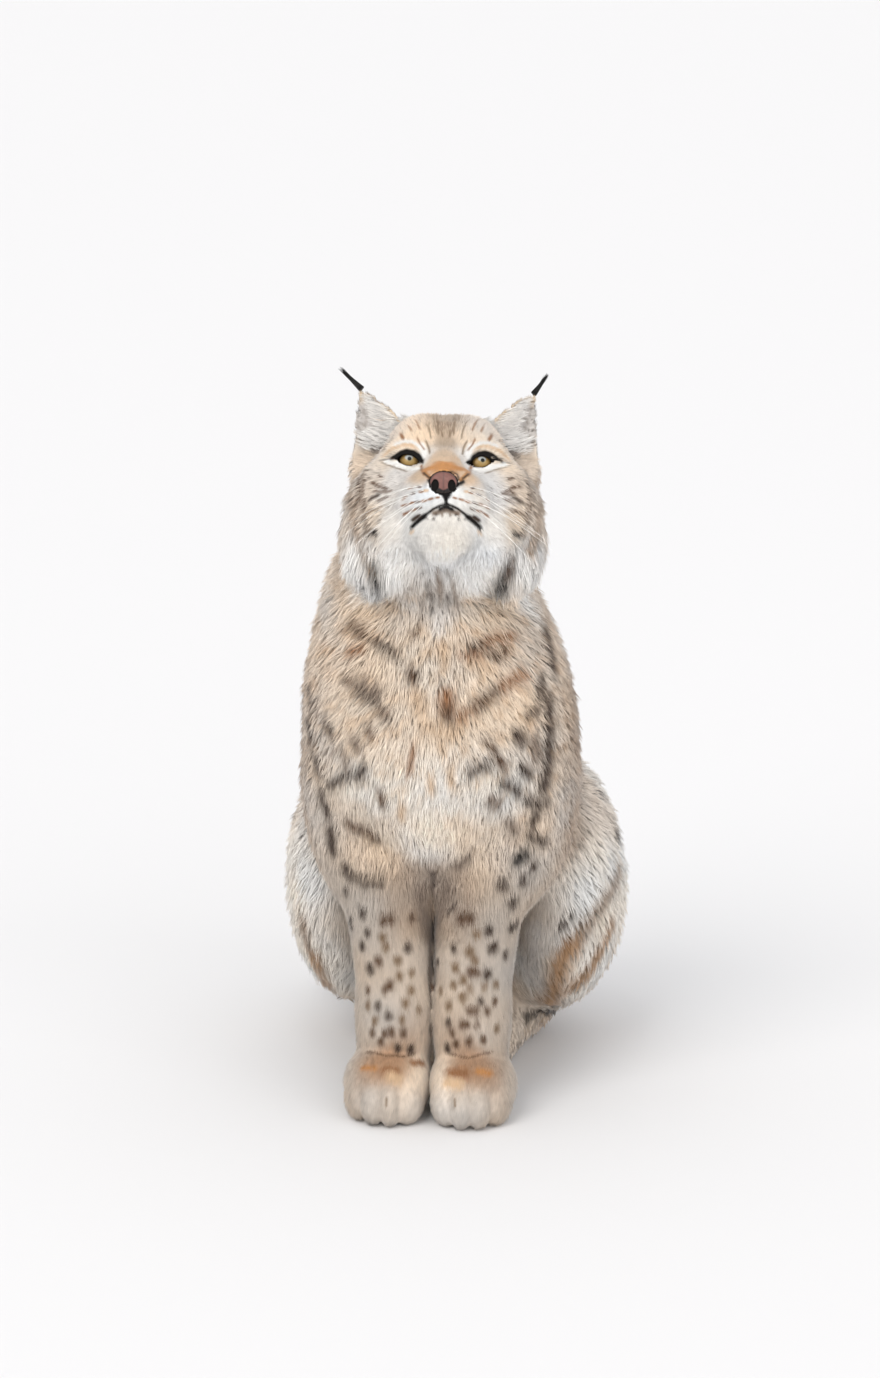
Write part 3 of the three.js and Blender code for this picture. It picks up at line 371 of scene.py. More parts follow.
bodyComb = {
    "coatNeck": {
        "throat": ((0, -54, 560), (0, -0.2, -1), 19, 7.8, "pale", 0.11),
        "throatSide": ((60, -38, 550), (0.75, -0.1, -0.8), 20, 8.4, "beige", 0.22),
        "neckSide": ((104, 40, 540), (0.5, 0.3, -0.85), 22, 8.4, "greyBeige", 0.3),
        "neckFront": ((0, -62, 490), (0, -0.15, -1), 20, 8.4, "beige", 0.15),
        "neckBase": ((100, 0, 480), (0.55, 0.1, -0.85), 22, 8.4, "greyBeige", 0.26),
        "neckBack": ((0, 150, 560), (0, 0.5, -0.9), 26, 9, "greyBrown", 0.52),
        "neckBackSide": ((80, 120, 550), (0.2, 0.4, -0.9), 26, 9, "greyBrown", 0.45),
    },
    "coatChest": {
        "chestTop": ((0, -78, 430), (0, -0.1, -1), 22, 8.7, "beige", 0.11),
        "chestTopSide": ((70, -50, 430), (0.5, 0, -0.9), 21, 8.7, "beige", 0.15),
        "chestMid": ((0, -80, 360), (0, 0, -1), 24, 8.7, "cream", 0),
        "chestMidSide": ((62, -52, 350), (-0.1, 0, -1), 21, 8.1, "cream", 0.09),
        "chestLow": ((0, -58, 300), (0, 0.1, -1), 24, 6.8, "cream", 0),
        "chestLowSide": ((52, -40, 300), (-0.1, 0.1, -1), 22, 6.2, "beige", 0.15),
        "breastGap": ((0, -20, 248), (0, 0.2, -1), 18, 4.5, "greyBrown", 0.22),
        "armFront": ((84, -22, 290), (0.05, 0.05, -1), 17, 5.6, "greyBeige", 0.22),
    },
    "coatFlanks": {
        "shoulder": ((128, 50, 400), (0.15, 0.35, -0.95), 19, 7.4, "greyBrown", 0.6),
        "shoulderFront": ((108, -10, 400), (0.25, 0.2, -0.95), 18, 7.4, "greyBeige", 0.5),
        "elbow": ((122, 60, 280), (0.15, 0.3, -0.95), 16, 6.2, "greyBrown", 0.38),
        "ribsSide": ((125, 150, 360), (0.15, 0.5, -0.85), 21, 8.1, "greyBrown", 0.38),
        "flank": ((125, 170, 270), (0.1, 0.5, -0.85), 21, 8.1, "greyBeige", 0.22),
    },
    "coatBack": {
        "withers": ((0, 190, 500), (0, 0.6, -0.85), 25, 9.2, "greyBrown", 0.52),
        "back": ((0, 260, 420), (0, 0.5, -0.87), 23, 8.6, "greyBrown", 0.52),
        "backSide": ((84, 230, 400), (0.3, 0.5, -0.8), 23, 8.6, "greyBrown", 0.45),
        "backLow": ((0, 330, 280), (0, 0.3, -0.95), 23, 8.6, "greyBrown", 0.52),
        "rumpTop": ((0, 370, 160), (0, 0.35, -0.95), 27, 8.6, "greyBrown", 0.45),
        "rumpSide": ((90, 340, 170), (0.3, 0.45, -0.85), 28, 9.2, "greyBrown", 0.3),
    },
    "coatHaunches": {
        "thighFront": ((150, 110, 210), (0.3, 0.1, -0.95), 23, 8.1, "cream", 0.04),
        "thighTop": ((150, 200, 300), (0.25, 0.35, -0.9), 23, 8.1, "cream", 0.16),
        "thigh": ((176, 190, 200), (0.3, 0.3, -0.9), 25, 8.7, "cream", 0.1),
        "haunch": ((165, 270, 140), (0.25, 0.45, -0.85), 25, 8.7, "cream", 0.24),
        "haunchLow": ((136, 250, 56), (0.25, 0.3, -0.9), 20, 6.2, "buff", 0.4),
        "haunchFront": ((122, 130, 100), (0.2, -0.1, -0.95), 20, 6.8, "cream", 0.05),
    },
    "coatForelegs": {
        "foreTop": ((84, -16, 235), (0.05, 0, -1), 14, 5, "leg", 0.15),
        "foreInner": ((12, -10, 225), (0, 0, -1), 12, 2.6, "greyBrown", 0.3),
        "foreMid": ((78, -18, 170), (0, 0, -1), 7.5, 2.2, "leg", 0.12),
        "foreMidInner": ((6, -8, 150), (0, 0, -1), 7.5, 1.2, "leg", 0.15),
        "foreBack": ((60, 80, 190), (0.1, 0.3, -0.9), 16, 6, "leg", 0.1),
        "foreLow": ((70, -22, 115), (0, -0.05, -1), 7, 2.2, "leg", 0.12),
        "foreRear": ((48, 54, 90), (0, 0.3, -1), 12, 4, "leg", 0.1),
        "wrist": ((60, -22, 90), (0, -0.2, -1), 7.5, 2.4, "leg", 0.15),
    },
    "coatPaws": {
        "pawTop": ((45, -40, 66), (0, -0.85, -0.3), 8, 2.6, "pawTop", 0.15),
        "pawSide": ((90, -10, 34), (0.3, -0.5, -0.7), 8.5, 2.8, "toe", 0),
        "pawInner": ((4, -30, 34), (-0.2, -0.6, -0.7), 7, 0.8, "beige", 0.05),
        "toeInner": ((4, -52, 20), (-0.3, -0.6, -0.6), 6, 0.6, "toe", 0.05),
        "toes": ((45, -72, 26), (0, -0.7, -0.7), 6.5, 2.2, "toe", 0.05),
        "pawBack": ((45, 45, 20), (0, 0.6, -0.7), 8, 3, "leg", 0.1),
    },
    "coatHindFeet": {
        "hindFoot": ((38, 96, 52), (0.1, -0.9, -0.3), 9, 3.4, "toe", 0.1),
        "hindToes": ((36, 44, 25), (0, -0.7, -0.7), 7, 2.6, "toe", 0),
        "hock": ((96, 256, 20), (0.2, 0.5, -0.8), 12, 4, "greyBrown", 0.3),
        "hockFront": ((76, 150, 32), (0.4, -0.7, -0.6), 11, 4, "leg", 0.2),
    },
    "coatTail": {
        "tailRoot": ((-10, 384, 66), (-0.5, 0.6, -0.5), 22, 8, "greyBrown", 0.3),
        "tailMid": ((-60, 402, 46), (-0.95, 0.1, -0.2), 22, 8, "greyBrown", 0.22),
        "tailEnd": ((-112, 392, 36), (-1, 0, -0.1), 22, 8, "black", 0),
        "tailTip": ((-145, 368, 30), (-1, -0.2, 0), 20, 7.2, "black", 0),
    },
}
single = ("coatTail",)
combReach = {"head": 4, "body": 14}  # how far one place holds before its neighbours mix in


def linear(code):
    part = np.array([int(code[i:i + 2], 16) for i in (1, 3, 5)]) / 255
    return np.where(part <= 0.04045, part / 12.92, ((part + 0.055) / 1.055) ** 2.4).astype(np.float32)


def spreadComb():
    rows = []
    coats = list(headComb) + list(bodyComb)
    for tables, where in ((headComb, "head"), (bodyComb, "body")):
        for coat, places in tables.items():
            for at, lie, long, depth, tone, tips in places.values():
                for side in (1,) if coat in single or at[0] == 0 else (1, -1):
                    spot, way = (triple(part) * triple((side, 1, 1)) for part in (at, lie))
                    if where == "head":
                        spot, way = fromHead(spot), way @ headAxes.T
                    rows.append([*spot, *unit(way), long, depth, *linear(tones[tone]), tips,
                                 combReach[where], coats.index(coat)])
    return np.array(rows, np.float32), coats


comb, coats = spreadComb()


# The comb's columns mixed at each point by the inverse of the distance, and the nearest place's coat.
def combAt(p, columns):
    total = np.zeros(len(p), np.float32)
    mixed = np.zeros((len(p), len(columns)), np.float32)
    best = np.zeros(len(p), np.float32)
    coat = np.zeros(len(p), int)
    for row in comb:
        d = ((p - row[:3]) ** 2).sum(1)
        w = 1 / (d + row[12] ** 2) ** 2.5 * row[12]
        total += w
        mixed += w[:, None] * row[columns]
        nearer = w > best
        best[nearer] = w[nearer]
        coat[nearer] = row[13]
    return mixed / total[:, None], coat


# The coat's depth is worked out once on a coarse grid of places and read from there.
depthStep = 9.0
depthLow = triple((-210, -130, -20))
depthCount = np.array([48, 62, 90])


def depthTable():
    i, j, k = np.meshgrid(*[np.arange(n) for n in depthCount], indexing="ij")
    p = depthLow + np.stack([i, j, k], -1).reshape(-1, 3).astype(np.float32) * depthStep
    return combAt(p, [7])[0].reshape(depthCount)


depths = depthTable()


def depthFromTable(p):
    at = np.clip((p - depthLow) / depthStep, 0, depthCount - 1.001)
    cell = at.astype(int)
    part = (at - cell).astype(np.float32)
    total = np.zeros(len(p), np.float32)
    for corner in range(8):
        step = np.array([corner & 1, (corner >> 1) & 1, corner >> 2])
        share = np.where(step, part, 1 - part).prod(1)
        i, j, k = (cell + step).T
        total += share * depths[i, j, k]
    return total


# The almond of the lid opening, in the plane that the photograph sees, towards the nose and up.
lids = {"middle": -1.0, "half": 10.8, "rise": 2.55, "tilt": -1.35, "over": 6.6, "under": 3.9, "power": 0.75,
        "rim": 2.3}
levelShare, frontShare = 0.926, -0.378  # the head's own up and forward in the plane that the photograph sees


# How far along the lids a point is, from 0 to 1, its height, the height of their slanted line and how far
# behind the eye it is.
def lidPlace(side):
    r = side - triple(eye["at"])
    off = -r[:, 0] - lids["middle"]
    line = lids["rise"] + lids["tilt"] * off / lids["half"]
    return np.abs(off) / lids["half"], levelShare * r[:, 2] + frontShare * r[:, 1], line, r[:, 1]


def lidOpening(side):
    along, up, line, behind = lidPlace(side)
    arch = np.clip(1 - along * along, 0, 1) ** lids["power"]
    d = np.maximum(up - line - lids["over"] * arch, line - lids["under"] * arch - up)
    return np.maximum(np.maximum(d, (along - 1) * 8), behind + 3)


# The black rim of the lids, wider above the eye.
def lidRim(side):
    _, up, line, _ = lidPlace(side)
    return lidOpening(side) - lids["rim"] * np.clip((up - line) / 2 + 0.3, 0, 1)


# How deep the skin lies under the coat's outer face: hardly at all at the lids and the nose, which end this
# far from their middles, and more and more over the next millimetres.
thinCoat = {"least": 0.5, "eye": 15.5, "nose": 14, "over": 12, "noseAt": (0, -57, -50),
            "squeeze": (1.15, 1, 1)}


def skinDepth(p):
    depth = depthFromTable(p)
    near = (p[:, 2] > 520) & (p[:, 1] < 120)
    q = toHead(p[near])
    side = folded(q, 0)
    fromEye = length(side - triple(eye["at"]))
    fromNose = length((q - triple(thinCoat["noseAt"])) / triple(thinCoat["squeeze"]))
    past = np.minimum(fromEye - thinCoat["eye"], fromNose - thinCoat["nose"])
    share = np.clip(past / thinCoat["over"], 0, 1)
    depth[near] = thinCoat["least"] + (depth[near] - thinCoat["least"]) * share
    return depth


earHide = 0.8  # the ear's own hair is this deep


def skinField(p):
    d = coatField(p, skinDepth(p), earHide)
    near = (p[:, 2] > 600) & (p[:, 1] < 60)
    side = folded(toHead(p[near]), 0)
    d[near] = smoothMax(d[near], -lidOpening(side), 0.8)
    return np.maximum(d, 1.5 - p[:, 2])


# Quads over a field: a point in each lattice cell that the surface crosses, a quad across each crossed edge.
# `place` carries lattice numbers into space. Blocks of cells that the surface can't reach are left out.
block = 8
chunk = 400000


def fieldInParts(field, p):
    return np.concatenate([field(p[i:i + chunk]) for i in range(0, len(p), chunk)])


def netOver(field, place, low, high):
    low, high = np.array(low), np.array(high)
    counts = -(-(high - low) // block)
    grid = np.stack(np.meshgrid(*[np.arange(n) for n in counts], indexing="ij"), -1).reshape(-1, 3)
    base = low + grid * block
    middle = place(base + block / 2)
    corner = np.stack([place(base + block * np.array([c & 1, (c >> 1) & 1, c >> 2])) for c in range(8)], 1)
    reach = length(corner - middle[:, None]).max(1)
    base = base[np.abs(fieldInParts(field, middle)) < reach * 1.35 + 1]
    ticks = np.stack(np.meshgrid(*[np.arange(block + 1)] * 3, indexing="ij"), -1).reshape(-1, 3)
    whole = (base[:, None] + ticks[None]).reshape(-1, 3)
    values = fieldInParts(field, place(whole)).reshape(len(base), block + 1, block + 1, block + 1)
    inside = values < 0
    parts = [(slice(s & 1, (s & 1) + block), slice((s >> 1) & 1, ((s >> 1) & 1) + block),
              slice(s >> 2, (s >> 2) + block)) for s in range(8)]
    count = sum(inside[(slice(None), *part)].astype(int) for part in parts)
    which, i, j, k = np.nonzero((count > 0) & (count < 8))
    cell = base[which] + np.stack([i, j, k], 1)
    v = np.stack([values[(slice(None), *part)][which, i, j, k] for part in parts], 1)
    spots = np.stack([place(cell + np.array([c & 1, (c >> 1) & 1, c >> 2])) for c in range(8)], 1)
    total, crossed = np.zeros((len(cell), 3), np.float32), np.zeros(len(cell), np.float32)
    for c in range(8):
        for axis in (1, 2, 4):
            if c & axis:
                continue
            a, b = v[:, c], v[:, c | axis]
            cross = (a < 0) != (b < 0)
            t = np.where(cross, a / np.where(cross, a - b, 1), 0)[:, None]
            total += cross[:, None] * (spots[:, c] * (1 - t) + spots[:, c | axis] * t)
            crossed += cross
    points = total / crossed[:, None]
    span = high - low + block + 2
    keys = ((cell - low + 1) @ np.array([span[1] * span[2], span[2], 1])).astype(np.int64)
    order = np.argsort(keys)
    sortedKeys = keys[order]
    quads = []
    for axis, stride in ((0, (span[2], 1)), (1, (1, span[1] * span[2])), (2, (span[1] * span[2], span[2]))):
        a, b = v[:, 0], v[:, 1 << axis]
        for rising in (True, False):
            hit = np.nonzero((a < 0) & (b >= 0) if rising else (a >= 0) & (b < 0))[0]
            around = ((1, 1), (0, 1), (0, 0), (1, 0))
            want = np.stack([keys[hit] - stride[0] * m - stride[1] * n for m, n in around], 1)
            spot = np.clip(np.searchsorted(sortedKeys, want), 0, len(keys) - 1)
            four = order[spot[(sortedKeys[spot] == want).all(1)]]
            quads.append(four if rising else four[:, ::-1])
    return points, np.concatenate(quads)


# Triangles of the chosen faces are cut in four, and those beside them in two or three, so no crack opens.
def refined(points, faces, chosen):
    ends = np.sort(np.stack([faces, np.roll(faces, -1, 1)], 2).reshape(-1, 2), 1).astype(np.int64)
    edges, number = np.unique(ends[:, 0] * len(points) + ends[:, 1], return_inverse=True)
    number = number.reshape(-1, 3)
    cut = np.zeros(len(edges), bool)
    cut[number[chosen].ravel()] = True
    middles = (points[edges[cut] // len(points)] + points[edges[cut] % len(points)]) / 2
    mid = np.where(cut, len(points) + np.cumsum(cut) - 1, -1)[number]
    cuts = (mid >= 0).sum(1)
    made = [faces[cuts == 0]]
    for turn in range(3):
        f = np.roll(faces, -turn, 1)
        m = np.roll(mid, -turn, 1)
        one = (cuts == 1) & (m[:, 0] >= 0)
        two = (cuts == 2) & (m[:, 0] < 0)
        made += [np.stack(c, 1)[one] for c in ((f[:, 0], m[:, 0], f[:, 2]), (m[:, 0], f[:, 1], f[:, 2]))]
        made += [np.stack(c, 1)[two] for c in ((f[:, 0], f[:, 1], m[:, 1]), (f[:, 0], m[:, 1], m[:, 2]),
                                               (m[:, 2], m[:, 1], f[:, 2]))]
        made.append(np.stack([f[:, 0], m[:, 0], m[:, 2]], 1)[cuts == 3])
    made.append(mid[cuts == 3])
    return np.concatenate([points, middles]).astype(np.float32), np.concatenate(made)


# Points drawn towards the mean of their neighbours and put back on the surface.
def relaxed(field, points, faces, rounds=3, pull=0.5):
    a = faces.ravel()
    b = np.roll(faces, -1, 1).ravel()
    ends, starts = np.concatenate([a, b]), np.concatenate([b, a])
    degree = np.maximum(np.bincount(ends, minlength=len(points)), 1)
    for _ in range(rounds):
        sums = [np.bincount(ends, points[starts, c], len(points)) for c in range(3)]
        mean = np.stack(sums, 1) / degree[:, None]
        points = (points + pull * (mean - points)).astype(np.float32)
        slope = slopeOf(field, points)
        slope /= np.maximum((slope ** 2).sum(1), 0.05)[:, None]
        for _ in range(2):
            points = points - field(points)[:, None] * slope
    return points


# The lattice is finest at the face and widens away from it, so that one skin runs from nose to tail.
lattice = {"middle": (0, -10, -15), "cell": 2.35, "widen": 140,
           "box": ((-180, 180), (-120, 425), (-6, 775)), "spare": 30}
latticeMiddle = fromHead(lattice["middle"])


def latticePlace(n):
    q = np.asarray(n, np.float32) * lattice["cell"]
    far = length(q)[..., None]
    return (latticeMiddle + q * np.sqrt(1 + (far / lattice["widen"]) ** 2)).astype(np.float32)


def latticeEnds():
    box = np.array(list(itertools.product(*lattice["box"])), np.float32)
    d = box - latticeMiddle
    # undo the widening: with s = r/a, far = r * sqrt(1 + s * s)
    far = length(d)
    a = lattice["widen"]
    r = a * np.sqrt((np.sqrt(1 + 4 * (far / a) ** 2) - 1) / 2)
    n = d * (r / far)[:, None] / lattice["cell"]
    return np.floor(n.min(0) - lattice["spare"]).astype(int), np.ceil(n.max(0) + lattice["spare"]).astype(int)


def meshFrom(name, points, faces, shift):
    mesh = bpy.data.meshes.new(name)
    faces = np.ascontiguousarray(faces, np.int32)
    mesh.vertices.add(len(points))
    mesh.vertices.foreach_set("co", ((points + shift) / 1000).astype(np.float32).ravel())
    mesh.loops.add(faces.size)
    mesh.loops.foreach_set("vertex_index", faces.ravel())
    mesh.polygons.add(len(faces))
    mesh.polygons.foreach_set("loop_start", np.arange(len(faces), dtype=np.int32) * faces.shape[1])
    mesh.polygons.foreach_set("use_smooth", np.ones(len(faces), bool))
    mesh.update(calc_edges=True)
    return mesh


def addObject(name, mesh):
    made = bpy.data.objects.new(name, mesh)
    bpy.context.scene.collection.objects.link(made)
    return made


# From the animal's axes to the frame: the left eye's middle is the same place in both.
def frameShift():
    low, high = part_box("eye_left")
    return triple((low + high) * 500) - fromHead(eye["at"])


shift = frameShift()
report("tables ready")
ends = latticeEnds()
skinPoints, skinQuads = netOver(skinField, latticePlace, *ends)
report(f"skin: {len(skinQuads)} quads")


# Where the form is small the skin is cut finer: the face, the ears, and twice over at the forepaws.
fine = {"faceHalf": 52, "faceBack": 2, "faceLow": -88, "faceHigh": 12, "earsFrom": 660,
        "pawHalf": 100, "pawBack": 40, "pawTops": (90, 72)}


def smallForms(p, top):
    q = toHead(p)
    face = (np.abs(q[:, 0]) < fine["faceHalf"]) & (q[:, 1] < fine["faceBack"])
    face &= (q[:, 2] > fine["faceLow"]) & (q[:, 2] < fine["faceHigh"])
    ears = (earPlace(folded(q, 0))[0] > 0.02) & (p[:, 2] > fine["earsFrom"])
    paws = (p[:, 1] < fine["pawBack"]) & (p[:, 2] < top) & (np.abs(p[:, 0] - foreShift) < fine["pawHalf"])
    return paws | ((face | ears) & (top == fine["pawTops"][0]))


skinPoints = relaxed(skinField, skinPoints, skinQuads, 2)
skinFaces = np.concatenate([skinQuads[:, [0, 1, 2]], skinQuads[:, [0, 2, 3]]])
for top in fine["pawTops"]:
    skinPoints, skinFaces = refined(skinPoints, skinFaces, smallForms(skinPoints, top)[skinFaces].all(1))
    skinPoints = relaxed(skinField, skinPoints, skinFaces, 1, 0.35)
report(f"skin laid: {len(skinFaces)} triangles")


# Markings, by the place that they are on. Each stroke is a colour, a half width in millimetres and its pixels
# in the photograph. Later strokes lie over earlier ones. Those on the face are mirrored about the nose.
faceMiddle, faceRoll = 446.1, 0.02
faceMarks = {
    "upperLid": (("black", 3.3, (390, 458.6), (394, 456.4), (400, 452.4), (406.5, 450.6), (413, 452),
                  (418, 455.6), (421.4, 460)),),
    "lids": (
        ("dark", 0.9, (379, 460.2), (385, 459), (392, 458.2)),
        ("buff", 1.6, (384, 455.4), (392, 449.6), (400, 445.2), (408, 444), (415, 446)),
        ("milk", 1.8, (396, 444.4), (404, 441.6), (412, 442), (419, 446)),
        ("white", 2.1, (387, 460.9), (394, 462.9), (400, 465), (407, 467.6), (413, 468.8), (418.2, 467.4)),
        ("taupe", 0.7, (381, 461.2), (390, 464.8), (399.5, 468.4), (407, 471)),
        ("black", 1.2, (419, 457), (421.5, 460.5), (422.4, 463)),
    ),
    "brows": (
        ("white", 3.4, (421.6, 446), (424.6, 455)), ("taupe", 1.1, (425.4, 441), (428, 446), (429.5, 453)),
        ("rust", 0.9, (417, 438), (420, 444), (424, 449)), ("rust", 1.8, (400, 433), (403, 438)),
    ),
    "forehead": (
        ("taupe", 0.9, (437, 419), (438, 427), (438.5, 434)),
        ("taupe", 0.9, (427, 424), (430, 432), (431, 438)), ("rust", 1, (417, 421), (420, 429)),
        ("taupe", 1, (442, 432), (442.5, 436)), ("rust", 1.2, (409, 426), (411, 430)),
        ("taupe", 1.1, (433, 416), (434, 420)),
    ),
    "besideEyes": (
        ("taupe", 1.4, (392, 438), (388, 444), (383, 449)),
        ("rust", 1.6, (420.5, 465), (422, 470), (424, 474)),
    ),
    "bridge": (
        ("orange", 3, (425, 469), (433, 467.5), (446, 467.5)),
        ("orange", 2, (423.5, 469), (427, 475), (431.5, 479.5)), ("tan", 4.5, (434, 459), (446, 459)),
    ),
    "noseEdge": (
        ("dark", 1, (423.3, 472.3), (426, 475), (429.3, 477.6)),
        ("black", 1.9, (428.6, 480.4), (433, 483.6), (438, 487.6)),
        ("dark", 1.1, (433.2, 478.4), (435, 473.6), (439.2, 471.3), (446, 471.6)),
    ),
    "philtrum": (("black", 4.2, (446, 488), (446, 493.5)),),
    "philtrumSide": (("black", 1.8, (438.4, 487.4), (442.6, 493), (446, 499)),),
    "lips": (
        ("black", 1.5, (446, 497), (445.9, 504)),
        ("black", 1.5, (445.9, 504), (439.5, 506.2), (434.3, 508.8), (424.4, 515.8)),
        ("black", 2.6, (424, 516), (418.6, 519.6), (414, 523.4), (410.6, 526.4)),
    ),
    "underLip": (
        ("dark", 2, (419, 515.4), (412.5, 519.6)), ("tan", 1.6, (410, 530.5), (413, 529.5)),
        ("grey", 2.2, (446, 510), (439, 511.6), (434, 513)), ("black", 1.8, (446, 507), (440, 509.4)),
    ),
    "chin": (
        ("dark", 1.2, (436, 513.8), (436.4, 514.4)), ("dark", 1.3, (433.3, 517.5), (433.7, 518.2)),
        ("grey", 1.3, (442, 513.5), (442.3, 515)), ("dark", 0.9, (427, 518), (427.4, 518.6)),
    ),
    "whiskerRows": (
        ("brown", 1.3, (418.4, 486), (420.2, 486.6)), ("rust", 1.3, (409.8, 487.9), (412.2, 486.8)),
        ("tan", 1.5, (424.8, 490.3), (427, 490.3)), ("rust", 1.4, (419.8, 491.3), (422, 491.3)),
        ("brown", 1.4, (411.8, 493.3), (414.2, 492.5)), ("rust", 1.3, (402.4, 498.8), (405.6, 496.6)),
        ("rust", 1, (436.2, 497.7), (438.8, 497.3)), ("rust", 1.1, (429, 499.3), (432.8, 498.4)),
        ("rust", 1.2, (422.4, 501.2), (426, 500.3)), ("brown", 1.2, (414.6, 502.4), (419, 501.3)),
        ("rust", 1.2, (409.5, 503.4), (412.8, 502.5)), ("rust", 1.2, (402, 506), (406.4, 504.6)),
        ("brown", 1.3, (417.6, 508.7), (421, 507.6)), ("rust", 1.3, (410.5, 511), (415, 509.6)),
        ("rust", 1.5, (403, 514.6), (408, 512.4)),
    ),
    "cheekStreaks": (
        ("brown", 1.4, (377, 474), (383, 475.4)), ("brown", 1.9, (371, 482), (379, 484), (388, 487.5)),
        ("brown", 1.6, (376, 489), (386, 490.5), (392, 489)),
        ("dark", 2.1, (367, 500), (373, 495.8), (380, 493)), ("brown", 1.9, (379, 498.5), (388, 495)),
        ("brown", 2, (366, 511), (375, 506), (383, 503.5)),
    ),
    "cheekBands": (
        ("grey", 3, (365, 466), (361, 480), (360, 496), (361, 512), (365, 530)),
        ("brown", 1.8, (358, 474), (355.6, 492), (356, 508)),
        ("greyBrown", 6, (352, 478), (349, 505), (351, 530), (357, 548)),
        ("brown", 1.8, (350, 536), (356, 545), (361, 556)),
    ),
    "cheekSpot": (("black", 3, (370, 533.4), (376.6, 531.2)), ("dark", 2, (362, 537), (369, 533.5))),
}
